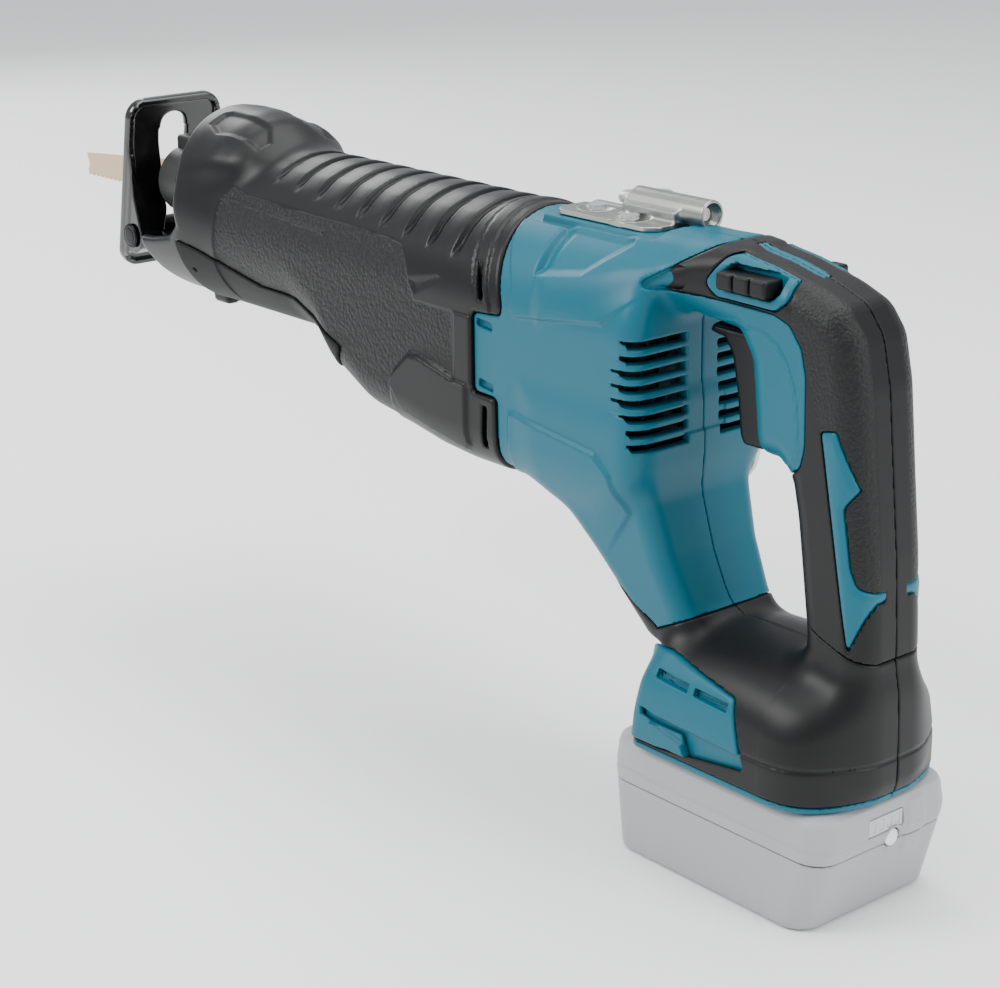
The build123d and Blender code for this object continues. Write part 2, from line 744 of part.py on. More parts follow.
with BuildPart() as housing:
    add(body_block.part)
    add(arm_outer)
    add(grip_core)
    add(foot_core)
    add(trigger_guard.part)
    add(bracket_pad.part)
    # motor room
    with BuildSketch(section(body_front)):
        add(body_sketch(Plane.XY, neck_inset + shell_wall))
    extrude(amount=boot_rear - body_front, mode=Mode.SUBTRACT)
    with BuildSketch(section(boot_rear)):
        add(body_sketch(Plane.XY, neck_inset + shell_wall))
    extrude(amount=body_rear - boot_rear - shell_wall, mode=Mode.SUBTRACT)
    # rooms in the arm, the handle and the foot
    add(arm_solid(shell_wall), mode=Mode.SUBTRACT)
    add(grip_solid(skin + shell_wall), mode=Mode.SUBTRACT)
    with Locations((5, 0, pack_height + rail_height + 3 + 9)):
        Box(76, 56, 18, mode=Mode.SUBTRACT)
    # channel for the pack's rails, open at the front
    with Locations(((foot_front - 10 + rail_rear + joint_gap) / 2, 0, pack_height + rail_height / 2)):
        Box(
            rail_rear + joint_gap - foot_front + 10, rail_width + 2 * joint_gap,
            rail_height + 2 * joint_gap, mode=Mode.SUBTRACT,
        )
    with Locations((30, 0, pack_height + rail_height + 3)):
        Box(22, 46, 12, mode=Mode.SUBTRACT)
    # rings that hold the stator, and the rear bearing's seat
    for x in (stator_front, stator_front + stator_length - 5):
        with BuildSketch(section(x)):
            add(body_sketch(Plane.XY, neck_inset + shell_wall - 0.5))
            with Locations((0, motor_h)):
                Circle(stator_radius, mode=Mode.SUBTRACT)
            with Locations((0, body_top - 14)):
                Rectangle(30, 18, mode=Mode.SUBTRACT)
        extrude(amount=5)
    with BuildSketch(at(section(body_rear - 14), 0, motor_h)):
        Circle(rear_bearing_outer + 3)
        Circle(rear_bearing_outer, mode=Mode.SUBTRACT)
    extrude(amount=12)
    # cooling slots round the rear corners
    for i in range(vent_count):
        h = vent_low + i * vent_pitch
        for y in (-1, 1):
            with Locations((body_rear - 3, y * 21.5, pack_height + h)):
                Box(10, 25, vent_height, mode=Mode.SUBTRACT)
            with Locations((body_rear - 13, y * (body_width / 2 - 1), pack_height + h)):
                Box(24, 8, vent_height, mode=Mode.SUBTRACT)
    # trigger window, lock-off hole
    with Locations((window_rear - window_length / 2, 0, pack_height + window_mid)):
        Box(window_length, trigger_width + 2, window_height, mode=Mode.SUBTRACT)
    with Locations((lock_off_x, 0, pack_height + lock_off_h)):
        Box(
            lock_off_length + 2 * joint_gap, 60, lock_off_height + 2 * joint_gap, mode=Mode.SUBTRACT
        )
    # screw bosses
    for x, h, half in housing_bosses:
        with BuildSketch(at(side, x, h)):
            Circle(boss_radius)
            Circle(screw_radius, mode=Mode.SUBTRACT)
        extrude(amount=half - 2, both=True)
        with BuildSketch(at(side, x, h).offset(-half - 6)):
            Circle(screw_radius)
        extrude(amount=half + 16, mode=Mode.SUBTRACT)
        with BuildSketch(at(side, x, h).offset(-half - 8)):
            Circle(boss_radius - 0.7)
        extrude(amount=12, mode=Mode.SUBTRACT)
    # screw holes for the hook bracket
    for x, y in bracket_screws:
        with BuildSketch(level(pad_top - 12)):
            with Locations((x, y)):
                Circle(2.0)
        extrude(amount=14, mode=Mode.SUBTRACT)
halves(housing.part, "housing")

lock_off_window = [(-24, 180), (-18, 192.5), (12.5, 191.5), (19, 180)]
with BuildPart() as grip_skin:
    add(grip_outer)
    add(grip_core, mode=Mode.SUBTRACT)
    add(teal_prism, mode=Mode.SUBTRACT)
    add(body_block.part, mode=Mode.SUBTRACT)
    add(foot_outer, mode=Mode.SUBTRACT)
    add(arm_outer, mode=Mode.SUBTRACT)
    add(bracket_pad.part, mode=Mode.SUBTRACT)
    add(side_prism(lock_off_window), mode=Mode.SUBTRACT)
with BuildPart() as screw_access:
    for x, h, half in housing_bosses:
        with BuildSketch(at(side, x, h).offset(-half - 8)):
            Circle(boss_radius - 0.7)
        extrude(amount=12)
with BuildPart() as grip_rubber:
    add(grip_skin.part)
    add(arrow_prism, mode=Mode.SUBTRACT)
    add(screw_access.part, mode=Mode.SUBTRACT)
halves(grip_rubber.part, "grip_overmould")
with BuildPart() as arrows:
    add(grip_skin.part)
    add(arrow_prism, mode=Mode.INTERSECT)
    add(screw_access.part, mode=Mode.SUBTRACT)
halves(arrows.part, "grip_accent")

with BuildPart() as foot_skin:
    add(foot_outer)
    add(foot_core, mode=Mode.SUBTRACT)
    add(arm_outer, mode=Mode.SUBTRACT)
    add(grip_core, mode=Mode.SUBTRACT)
    with Locations((foot_front, 0, pack_height + rail_height / 2)):
        Box(30, rail_width + 2 * joint_gap, rail_height + 2 * joint_gap, mode=Mode.SUBTRACT)
with BuildPart() as foot_rubber:
    add(foot_skin.part)
    add(panel_prism, mode=Mode.SUBTRACT)
halves(foot_rubber.part, "foot_overmould")
with BuildPart() as panels:
    add(foot_skin.part)
    add(panel_prism, mode=Mode.INTERSECT)
    for h in (29, 34):
        with Locations((0, 0, pack_height + h)):
            Box(36, 200, 2, mode=Mode.SUBTRACT)
    with Locations((-30, 0, pack_height + 25)):
        Box(30, 56, 60, mode=Mode.SUBTRACT)
halves(panels.part, "foot_panel")

with BuildPart() as housing_screws:
    for x, h, half in housing_bosses:
        with BuildSketch(at(side, x, h).offset(-half - 1)):
            Circle(screw_radius)
        extrude(amount=half + 9)
        with BuildSketch(at(side, x, h).offset(-half + 1)):
            Circle(boss_radius - 0.9)
        extrude(amount=3)
finish(housing_screws.part, "housing_screws")

# ---- trigger, switch and lock-off ----------------------------------------------------------------
trigger_pivot = (-1, 162)
with BuildPart() as trigger:
    with BuildSketch(side):
        with BuildLine():
            FilletPolyline(*trigger_outline, radius=1.5, close=True)
        make_face()
        with Locations(trigger_pivot):
            Circle(1.5 + running, mode=Mode.SUBTRACT)
    extrude(amount=trigger_width / 2, both=True)
finish(trigger.part, "switch_trigger")
with BuildPart() as trigger_pin:
    with BuildSketch(at(side, *trigger_pivot).offset(-trigger_width / 2 - 1)):
        Circle(1.5)
    extrude(amount=trigger_width + 2)
finish(trigger_pin.part, "trigger_pin")

with BuildPart() as switch_body:
    with Locations((22, 0, pack_height + 148)):
        Box(22, 18, 34)
finish(switch_body.part, "switch_body")
with BuildPart() as control_module:
    with Locations((0, 0, pack_height + rail_height + 12)):
        Box(36, 44, 6)
finish(control_module.part, "control_module")
with BuildPart() as terminal_block:
    with Locations((30, 0, pack_height + rail_height + 3.5)):
        Box(20, 44, 4)
    for y in (-18, -9, 9, 18):
        with Locations((30, y, pack_height + rail_height - 0.5)):
            Box(16, 0.8, 5)
finish(terminal_block.part, "terminal_block")

with BuildPart() as lock_off:
    with Locations((lock_off_x, 0, pack_height + lock_off_h)):
        Box(lock_off_length, grip_width + 9, lock_off_height)
    for x in (-7, 0, 7):
        for y in (-1, 1):
            with Locations((lock_off_x + x, y * (grip_half + 4.5), pack_height + lock_off_h)):
                Box(4, 2.4, lock_off_height)
finish(lock_off.part, "lock_off_button")

# ---- hook ------------------------------------------------------------------------------------------
tube_y = 8.0
tube_h = 201.6
tube_radius = 6.0
tube_front = bracket_front + 28
tube_length = 42.0
hook_y = 42.0
hook_front = tube_front - 12
wire = hook_wire / 2
with BuildPart() as bracket:
    with Locations((bracket_front + bracket_length / 2, 0, pack_height + pad_top + 1.1)):
        Box(bracket_length, 2 * bracket_half, 2.2)
    with BuildSketch(at(section(tube_front), tube_y, tube_h)):
        Circle(tube_radius)
    extrude(amount=tube_length)
    with BuildSketch(at(section(tube_front), tube_y, tube_h)):
        Circle(wire + running)
    extrude(amount=tube_length, mode=Mode.SUBTRACT)
    for x, y in bracket_screws:
        with BuildSketch(level(pad_top)):
            with Locations((x, y)):
                Circle(2.0)
        extrude(amount=3, mode=Mode.SUBTRACT)
finish(bracket.part, "hook_bracket")

with BuildPart() as hook_screws:
    for x, y in bracket_screws:
        with BuildSketch(level(pad_top - 10)):
            with Locations((x, y)):
                Circle(2.0)
        extrude(amount=12.2)
        with BuildSketch(level(pad_top + 2.2)):
            with Locations((x, y)):
                Circle(3.6)
        extrude(amount=1.6)
finish(hook_screws.part, "hook_screws")

hook_points = [
    (tube_front + tube_length - 4, tube_y, tube_h), (hook_front, tube_y, tube_h),
    (hook_front, hook_y, tube_h - 4), (hook_front + 8, hook_y, 86), (hook_front + 43, hook_y, 86),
    (body_rear, hook_y, 146),
]
with BuildPart() as hook:
    with BuildLine() as hook_path:
        FilletPolyline(
            *[(x, y, pack_height + h) for x, y, h in hook_points], radius=[8, 9, 14, 14]
        )
    with BuildSketch(Plane(origin=hook_path.line @ 0, z_dir=hook_path.line % 0)):
        Circle(wire)
    sweep()
finish(hook.part, "hook_wire")

# ---- battery pack -----------------------------------------------------------------------------------
pack_split = 30.0
cell_radius = 9.2
cell_length = 65.0
pack_front = pack_centre_x - pack_length / 2
pack_rear = pack_centre_x + pack_length / 2


def pack_solid(inset):
    """The pack's block: ends taper towards the bench, shoulders towards the rails."""
    steps = (
        (0.0, pack_length - 19, pack_width),
        (pack_height - 11, pack_length, pack_width),
        (pack_height - 2, pack_length - 6, pack_width - 8),
        (pack_height, pack_length - 12, pack_width - 14),
    )
    with BuildPart() as block:
        for z, length, width in steps:
            with BuildSketch(Plane.XY.offset(z)):
                with Locations((pack_centre_x, 0)):
                    RectangleRounded(length - 2 * inset, width - 2 * inset, 10 - inset)
        loft(ruled=True)
    return block.part


pack_block = pack_solid(0)
well_half = 16.0
gauge_width = 19.0
gauge_height = 7.0
gauge_y = -1.5
gauge_z = pack_height - 10
check_radius = 3.6
check_y = 3.0
check_z = pack_split + 1.5
check_x = pack_rear - 6
with BuildPart() as pack_shell:
    add(pack_block)
    with Locations(((rail_front + rail_rear) / 2, 0, pack_height + rail_height / 2 - 1)):
        Box(rail_rear - rail_front, rail_width, rail_height + 2)
    with Locations((pack_centre_x, 0, 22.5)):
        Box(2 * cell_radius * 5 + 3, cell_length + 3, 40, mode=Mode.SUBTRACT)
    # grooves of the rails
    for y in (-1, 1):
        with Locations(((rail_front + rail_rear) / 2, y * rail_width / 2, pack_height + 4)):
            Box(rail_rear - rail_front + 20, 7, 4, mode=Mode.SUBTRACT)
    # slots for the tool's contacts
    for y in (-18, -9, 9, 18):
        with Locations((32, y, pack_height + rail_height - 2)):
            Box(24, 2, 8, mode=Mode.SUBTRACT)
    # well of the release button
    with Locations((pack_front + 2, 0, 37)):
        Box(14, 2 * well_half + 0.6, 21, mode=Mode.SUBTRACT)
    with Locations((pack_rear, gauge_y, gauge_z)):
        Box(8, gauge_width, gauge_height, mode=Mode.SUBTRACT)
    with BuildSketch(Plane(origin=(check_x - 0.9, check_y, check_z), z_dir=(1, 0, 0))):
        Circle(check_radius + joint_gap)
    extrude(amount=12, mode=Mode.SUBTRACT)
for name, keep in (("pack_lower_case", Keep.BOTTOM), ("pack_upper_case", Keep.TOP)):
    with BuildPart() as case_half:
        add(pack_shell.part)
        split(bisect_by=Plane.XY.offset(pack_split), keep=keep)
    finish(case_half.part, name)

with BuildPart() as cells:
    for z in (2.6 + cell_radius, 2.8 + 3 * cell_radius):
        for i in range(5):
            x = pack_centre_x + (i - 2) * (2 * cell_radius + 0.2)
            with BuildSketch(Plane(origin=(x, 0, z), x_dir=(1, 0, 0), z_dir=(0, -1, 0))):
                Circle(cell_radius)
            extrude(amount=cell_length / 2, both=True)
finish(cells.part, "pack_cells")

with BuildPart() as release:
    with Locations((pack_front + 3.2, 0, 38.6)):
        Box(8, 2 * well_half, 17)
finish(release.part, "pack_release_button")

with BuildPart() as gauge:
    with Locations((pack_rear - 2.3, gauge_y, gauge_z)):
        Box(3.4, gauge_width, gauge_height)
finish(gauge.part, "gauge_window")
with BuildPart() as check:
    with BuildSketch(Plane(origin=(check_x, check_y, check_z), z_dir=(1, 0, 0))):
        Circle(check_radius)
    extrude(amount=5)
finish(check.part, "gauge_check_button")
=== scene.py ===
"""Looks of the cordless reciprocating saw: moulded shells, rubber skins, finishes, light and camera.

Shapes are written in millimetres, with h as the height above the tool's foot, and turned
into metres when their mesh is made. The nose points to -X and the left side to -Y.
"""
import json
import math

import bpy
import numpy as np
from mathutils import Matrix, Vector

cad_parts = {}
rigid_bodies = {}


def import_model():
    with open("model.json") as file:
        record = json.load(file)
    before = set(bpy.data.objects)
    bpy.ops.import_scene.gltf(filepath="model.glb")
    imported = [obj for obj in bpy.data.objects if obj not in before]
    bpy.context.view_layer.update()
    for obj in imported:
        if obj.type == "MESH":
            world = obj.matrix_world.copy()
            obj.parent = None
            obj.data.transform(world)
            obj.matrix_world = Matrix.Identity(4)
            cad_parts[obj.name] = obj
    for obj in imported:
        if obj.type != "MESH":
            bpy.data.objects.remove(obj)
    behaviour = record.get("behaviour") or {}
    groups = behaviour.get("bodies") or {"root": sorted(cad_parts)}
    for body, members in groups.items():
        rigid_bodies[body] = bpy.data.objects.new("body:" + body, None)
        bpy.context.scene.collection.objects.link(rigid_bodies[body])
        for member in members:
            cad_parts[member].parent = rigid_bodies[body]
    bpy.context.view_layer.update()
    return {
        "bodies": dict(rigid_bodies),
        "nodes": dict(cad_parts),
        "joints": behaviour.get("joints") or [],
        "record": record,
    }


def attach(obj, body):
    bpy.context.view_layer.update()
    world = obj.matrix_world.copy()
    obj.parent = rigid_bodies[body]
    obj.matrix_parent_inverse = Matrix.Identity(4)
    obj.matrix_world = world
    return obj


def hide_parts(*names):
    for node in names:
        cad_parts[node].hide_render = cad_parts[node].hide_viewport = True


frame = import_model()

MM = 0.001
FOOT_Z = 49.0               # bench to the underside of the tool's foot
PARTING = 0.12              # half the fine line between two mouldings
SKIN_DEEP = 1.7             # how far the soft skins reach under the tool's surface


# ---- shape maths -----------------------------------------------------------------------------
def join(a, b, k):
    """Union of two shapes with a fillet of about k."""
    blend = np.clip(0.5 + 0.5 * (b - a) / k, 0.0, 1.0)
    return b + (a - b) * blend - k * blend * (1.0 - blend)


def both(a, b, k):
    """What two shapes share, with its edge rounded by about k."""
    return -join(-a, -b, k)


def cut(a, b, k):
    """Shape a with shape b taken out, with its edge rounded by about k."""
    return -join(-a, b, k)


def outline(u, v, points):
    """Signed distance to a closed outline: negative inside."""
    pts = np.asarray(points, dtype=np.float32)
    best = None
    sign = None
    for (ax, ay), (bx, by) in zip(pts, np.roll(pts, 1, axis=0)):
        ex, ey = bx - ax, by - ay
        wx, wy = u - ax, v - ay
        t = np.clip((wx * ex + wy * ey) / (ex * ex + ey * ey), 0.0, 1.0)
        d = (wx - ex * t) ** 2 + (wy - ey * t) ** 2
        best = d if best is None else np.minimum(best, d)
        up = v >= ay
        flip = np.where(
            (up & (v < by) & (ex * wy > ey * wx)) | (~up & (v >= by) & (ex * wy <= ey * wx)), -1.0, 1.0
        )
        sign = flip if sign is None else sign * flip
    return sign * np.sqrt(best)


def soft_outline(u, v, points, r):
    """An outline with all its corners eased over about r."""
    total = 0.0
    for i in range(6):
        turn = math.pi * i / 3
        total = total + outline(u + r * math.cos(turn), v + r * math.sin(turn), points)
    return total / 6


def bar(flat, across, half, r):
    """An outline carried to both sides of the middle plane, with edges rounded by r."""
    p = flat + r
    q = across - half + r
    return np.sqrt(np.maximum(p, 0) ** 2 + np.maximum(q, 0) ** 2) + np.minimum(np.maximum(p, q), 0) - r


def slab(x, low, high):
    return np.maximum(low - x, x - high)


def ease(x, low, high):
    t = np.clip((x - low) / (high - low), 0.0, 1.0)
    return t * t * (3 - 2 * t)


# ---- meshes from shapes ------------------------------------------------------------------------
def skin_arrays(form, low, high, step):
    """Vertices, quads and normals of the surface where form is zero."""
    axes = [np.arange(a, b + step, step, dtype=np.float32) for a, b in zip(low, high)]
    x, y, h = axes[0][:, None, None], axes[1][None, :, None], axes[2][None, None, :]
    f = np.ascontiguousarray(np.broadcast_to(form(x, y, h), [len(a) for a in axes]), dtype=np.float32)
    inside = f < 0
    count = np.zeros([n - 1 for n in f.shape], dtype=np.int8)
    corners = [(i, j, k) for i in (0, 1) for j in (0, 1) for k in (0, 1)]
    shape = f.shape
    for i, j, k in corners:
        count += inside[i:shape[0] - 1 + i, j:shape[1] - 1 + j, k:shape[2] - 1 + k]
    cells = np.argwhere((count > 0) & (count < 8))
    index = np.full(count.shape, -1, dtype=np.int32)
    index[tuple(cells.T)] = np.arange(len(cells))
    values = np.stack([f[tuple((cells + c).T)] for c in corners], axis=1)
    total = np.zeros((len(cells), 3), dtype=np.float32)
    hits = np.zeros(len(cells), dtype=np.float32)
    for a in range(8):
        for b in range(a + 1, 8):
            step_ab = np.abs(np.subtract(corners[a], corners[b]))
            if step_ab.sum() != 1:
                continue
            crossed = (values[:, a] < 0) != (values[:, b] < 0)
            gap = np.where(crossed, values[:, a] - values[:, b], 1.0)
            t = np.where(crossed, values[:, a] / gap, 0.0)[:, None]
            at = np.array(corners[a]) + t * (np.array(corners[b]) - np.array(corners[a]))
            total += np.where(crossed[:, None], at, 0.0)
            hits += crossed
    verts = (cells + total / hits[:, None]) * step + np.array(low)
    quads = []
    for axis in range(3):
        u, v = (axis + 1) % 3, (axis + 2) % 3
        first = np.take(inside, range(shape[axis] - 1), axis)
        second = np.take(inside, range(1, shape[axis]), axis)
        edges = np.argwhere(first != second)
        keep = (edges[:, u] > 0) & (edges[:, v] > 0)
        keep &= (edges[:, u] < shape[u] - 1) & (edges[:, v] < shape[v] - 1)
        edges = edges[keep]
        outward = first[tuple(edges.T)]
        ring = []
        for du, dv in ((1, 1), (0, 1), (0, 0), (1, 0)):
            cell = edges.copy()
            cell[:, u] -= du
            cell[:, v] -= dv
            ring.append(index[tuple(cell.T)])
        ring = np.stack(ring, axis=1)
        ring[~outward] = ring[~outward][:, ::-1]
        quads.append(ring)
    quads = np.concatenate(quads)
    # normals from the slope of the form itself
    p = verts.astype(np.float32)
    e = 0.4 * step
    slope = []
    for axis in range(3):
        shift = np.zeros(3, dtype=np.float32)
        shift[axis] = e
        ahead, behind = p + shift, p - shift
        slope.append(form(*ahead.T) - form(*behind.T))
    normals = np.stack(slope, axis=1)
    normals /= np.linalg.norm(normals, axis=1, keepdims=True) + 1e-9
    return verts, quads, normals


def mesh_piece(name, verts, quads, normals, flip):
    """An object from millimetre arrays; flip mirrors it to the other side of the tool."""
    verts = np.array(verts, dtype=np.float64)
    if flip:
        verts[:, 1] *= -1
        quads = quads[:, ::-1]
        normals = normals * np.array([1, -1, 1])
    verts[:, 2] += FOOT_Z
    mesh = bpy.data.meshes.new(name)
    mesh.vertices.add(len(verts))
    mesh.vertices.foreach_set("co", (verts * MM).ravel())
    mesh.loops.add(quads.size)
    mesh.loops.foreach_set("vertex_index", quads.ravel())
    mesh.polygons.add(len(quads))
    mesh.polygons.foreach_set("loop_start", np.arange(0, quads.size, 4))
    mesh.update(calc_edges=True)
    mesh.validate()
    mesh.polygons.foreach_set("use_smooth", np.ones(len(mesh.polygons), dtype=bool))
    if len(mesh.vertices) == len(normals):
        mesh.normals_split_custom_set_from_vertices(normals.astype(np.float32))
    piece = bpy.data.objects.new(name, mesh)
    bpy.context.scene.collection.objects.link(piece)
    return piece


# ---- finishes --------------------------------------------------------------------------------------
def group(name, inputs, outputs):
    """A shader node group with its sockets made; returns the tree, its inlet and its outlet."""
    tree = bpy.data.node_groups.new(name, "ShaderNodeTree")
    for label, kind, value in inputs:
        socket = tree.interface.new_socket(label, in_out="INPUT", socket_type=kind)
        socket.default_value = value
    for label, kind in outputs:
        tree.interface.new_socket(label, in_out="OUTPUT", socket_type=kind)
    return tree, tree.nodes.new("NodeGroupInput"), tree.nodes.new("NodeGroupOutput")


def maths(tree, operation, a, b=0.0, c=0.0, clamp=False):
    """A Math node fed by sockets or plain numbers."""
    node = tree.nodes.new("ShaderNodeMath")
    node.operation = operation
    node.use_clamp = clamp
    for socket, value in zip(node.inputs, (a, b, c)):
        if isinstance(value, (int, float)):
            socket.default_value = value
        else:
            tree.links.new(value, socket)
    return node.outputs[0]


def noise(tree, place, scale, detail=3.0, stretch=(1, 1, 1)):
    """Noise over the object's own coordinates."""
    mapping = tree.nodes.new("ShaderNodeMapping")
    mapping.inputs["Scale"].default_value = stretch
    tree.links.new(place, mapping.inputs["Vector"])
    node = tree.nodes.new("ShaderNodeTexNoise")
    node.inputs["Detail"].default_value = detail
    tree.links.new(mapping.outputs[0], node.inputs["Vector"])
    if isinstance(scale, (int, float)):
        node.inputs["Scale"].default_value = scale
    else:
        tree.links.new(scale, node.inputs["Scale"])
    return node.outputs["Fac"]


def mixed(tree, amount, first, second):
    """A colour between two others."""
    node = tree.nodes.new("ShaderNodeMix")
    node.data_type = "RGBA"
    for socket, value in ((node.inputs[0], amount), (node.inputs[6], first), (node.inputs[7], second)):
        if isinstance(value, (int, float, tuple)):
            socket.default_value = value
        else:
            tree.links.new(value, socket)
    return node.outputs[2]


def worn_surface():
    """Handled plastic or paint: slight colour drift, dulled patches, brighter edges."""
    tree, inlet, outlet = group(
        "worn_surface",
        [("Color", "NodeSocketColor", (0.5, 0.5, 0.5, 1)),
         ("Edge Color", "NodeSocketColor", (0.8, 0.8, 0.8, 1)),
         ("Roughness", "NodeSocketFloat", 0.4), ("Edge Wear", "NodeSocketFloat", 0.2),
         ("Drift", "NodeSocketFloat", 0.06), ("Smudges", "NodeSocketFloat", 0.06)],
        [("Color", "NodeSocketColor"), ("Roughness", "NodeSocketFloat")],
    )
    place = tree.nodes.new("ShaderNodeTexCoord").outputs["Object"]
    cloud = noise(tree, place, 22.0, 4.0)
    fine = noise(tree, place, 420.0, 2.0)
    pointed = tree.nodes.new("ShaderNodeNewGeometry").outputs["Pointiness"]
    edge = maths(tree, "MULTIPLY_ADD", pointed, 14.0, -7.35, clamp=True)
    edge = maths(tree, "MULTIPLY", edge, maths(tree, "MULTIPLY_ADD", fine, 1.6, -0.2, clamp=True))
    edge = maths(tree, "MULTIPLY", edge, inlet.outputs["Edge Wear"])
    drift = maths(tree, "MULTIPLY", maths(tree, "SUBTRACT", cloud, 0.5), inlet.outputs["Drift"])
    tone = maths(tree, "ADD", drift, 1.0)
    scale = tree.nodes.new("ShaderNodeVectorMath")
    scale.operation = "SCALE"
    tree.links.new(inlet.outputs["Color"], scale.inputs[0])
    tree.links.new(tone, scale.inputs["Scale"])
    tree.links.new(mixed(tree, edge, scale.outputs[0], inlet.outputs["Edge Color"]), outlet.inputs["Color"])
    dull = maths(tree, "MULTIPLY", maths(tree, "SUBTRACT", cloud, 0.45), inlet.outputs["Smudges"])
    rough = maths(tree, "ADD", inlet.outputs["Roughness"], dull)
    rough = maths(tree, "ADD", rough, maths(tree, "MULTIPLY", fine, 0.03))
    tree.links.new(rough, outlet.inputs["Roughness"])
    return tree


def moulded_grain():
    """The height of a moulded grain, from a fine spark finish to coarse pebbles, and a mask of painted shade
    for the valleys between the pebbles.
    """
    tree, inlet, outlet = group(
        "moulded_grain",
        [("Pebble Size", "NodeSocketFloat", 0.0015), ("Pebbles", "NodeSocketFloat", 0.0),
         ("Spark", "NodeSocketFloat", 0.3)],
        [("Height", "NodeSocketFloat"), ("Painted Valley Shade", "NodeSocketFloat")],
    )
    place = tree.nodes.new("ShaderNodeTexCoord").outputs["Object"]
    per_metre = maths(tree, "DIVIDE", 1.0, inlet.outputs["Pebble Size"])
    wobble = tree.nodes.new("ShaderNodeTexNoise")
    wobble.inputs["Detail"].default_value = 1.0
    tree.links.new(place, wobble.inputs["Vector"])
    tree.links.new(maths(tree, "MULTIPLY", per_metre, 0.8), wobble.inputs["Scale"])
    bend = tree.nodes.new("ShaderNodeVectorMath")
    bend.operation = "SCALE"
    tree.links.new(wobble.outputs["Color"], bend.inputs[0])
    tree.links.new(maths(tree, "MULTIPLY", inlet.outputs["Pebble Size"], 0.9), bend.inputs["Scale"])
    moved = tree.nodes.new("ShaderNodeVectorMath")
    tree.links.new(place, moved.inputs[0])
    tree.links.new(bend.outputs[0], moved.inputs[1])
    cells = tree.nodes.new("ShaderNodeTexVoronoi")
    cells.feature = "SMOOTH_F1"
    cells.inputs["Smoothness"].default_value = 0.6
    tree.links.new(moved.outputs[0], cells.inputs["Vector"])
    tree.links.new(per_metre, cells.inputs["Scale"])
    dome = maths(tree, "SUBTRACT", 1.0, cells.outputs["Distance"], clamp=True)
    spark = noise(tree, place, 2600.0, 2.0)
    height = maths(
        tree, "ADD", maths(tree, "MULTIPLY", dome, inlet.outputs["Pebbles"]),
        maths(tree, "MULTIPLY", spark, inlet.outputs["Spark"]),
    )
    tree.links.new(height, outlet.inputs["Height"])
    # painted shade: marks the valleys between the pebbles, where shade falls, so the base colour can be
    # darkened there
    low = maths(tree, "SUBTRACT", 0.62, dome, clamp=True)
    painted_valley_shade = maths(tree, "MULTIPLY", low, inlet.outputs["Pebbles"], clamp=True)
    tree.links.new(painted_valley_shade, outlet.inputs["Painted Valley Shade"])
    return tree


def drawn_metal():
    """Plated or ground metal: cloudy plating, fine scratches along X."""
    tree, inlet, outlet = group(
        "drawn_metal",
        [("Color", "NodeSocketColor", (0.6, 0.6, 0.6, 1)), ("Roughness", "NodeSocketFloat", 0.3),
         ("Scratches", "NodeSocketFloat", 0.3), ("Clouds", "NodeSocketFloat", 0.15)],
        [("Color", "NodeSocketColor"), ("Roughness", "NodeSocketFloat"), ("Height", "NodeSocketFloat")],
    )
    place = tree.nodes.new("ShaderNodeTexCoord").outputs["Object"]
    cloud = noise(tree, place, 90.0, 5.0)
    lines = noise(tree, place, 60.0, 4.0, stretch=(1, 26, 26))
    shade = maths(tree, "MULTIPLY", maths(tree, "SUBTRACT", cloud, 0.5), inlet.outputs["Clouds"])
    scale = tree.nodes.new("ShaderNodeVectorMath")
    scale.operation = "SCALE"
    tree.links.new(inlet.outputs["Color"], scale.inputs[0])
    tree.links.new(maths(tree, "ADD", shade, 1.0), scale.inputs["Scale"])
    tree.links.new(scale.outputs[0], outlet.inputs["Color"])
    marks = maths(tree, "MULTIPLY", maths(tree, "SUBTRACT", lines, 0.5), inlet.outputs["Scratches"])
    rough = maths(tree, "ADD", inlet.outputs["Roughness"], marks, clamp=True)
    tree.links.new(rough, outlet.inputs["Roughness"])
    tree.links.new(lines, outlet.inputs["Height"])
    return tree


WORN = worn_surface()
GRAIN = moulded_grain()
METAL = drawn_metal()


def rgb(red, green, blue):
    """A colour from 0-255 display values."""
    def linear(v):
        v = v / 255
        return v / 12.92 if v <= 0.04045 else ((v + 0.055) / 1.055) ** 2.4
    return (linear(red), linear(green), linear(blue), 1.0)


def start_material(name):
    material = bpy.data.materials.new(name)
    material.use_nodes = True
    tree = material.node_tree
    return material, tree, tree.nodes["Principled BSDF"]


def place_group(tree, nodes, values):
    node = tree.nodes.new("ShaderNodeGroup")
    node.node_tree = nodes
    for label, value in values.items():
        node.inputs[label].default_value = value
    return node


def bump(tree, height, depth, shader):
    node = tree.nodes.new("ShaderNodeBump")
    node.inputs["Distance"].default_value = depth
    node.inputs["Strength"].default_value = 1.0
    tree.links.new(height, node.inputs["Height"])
    tree.links.new(node.outputs["Normal"], shader.inputs["Normal"])


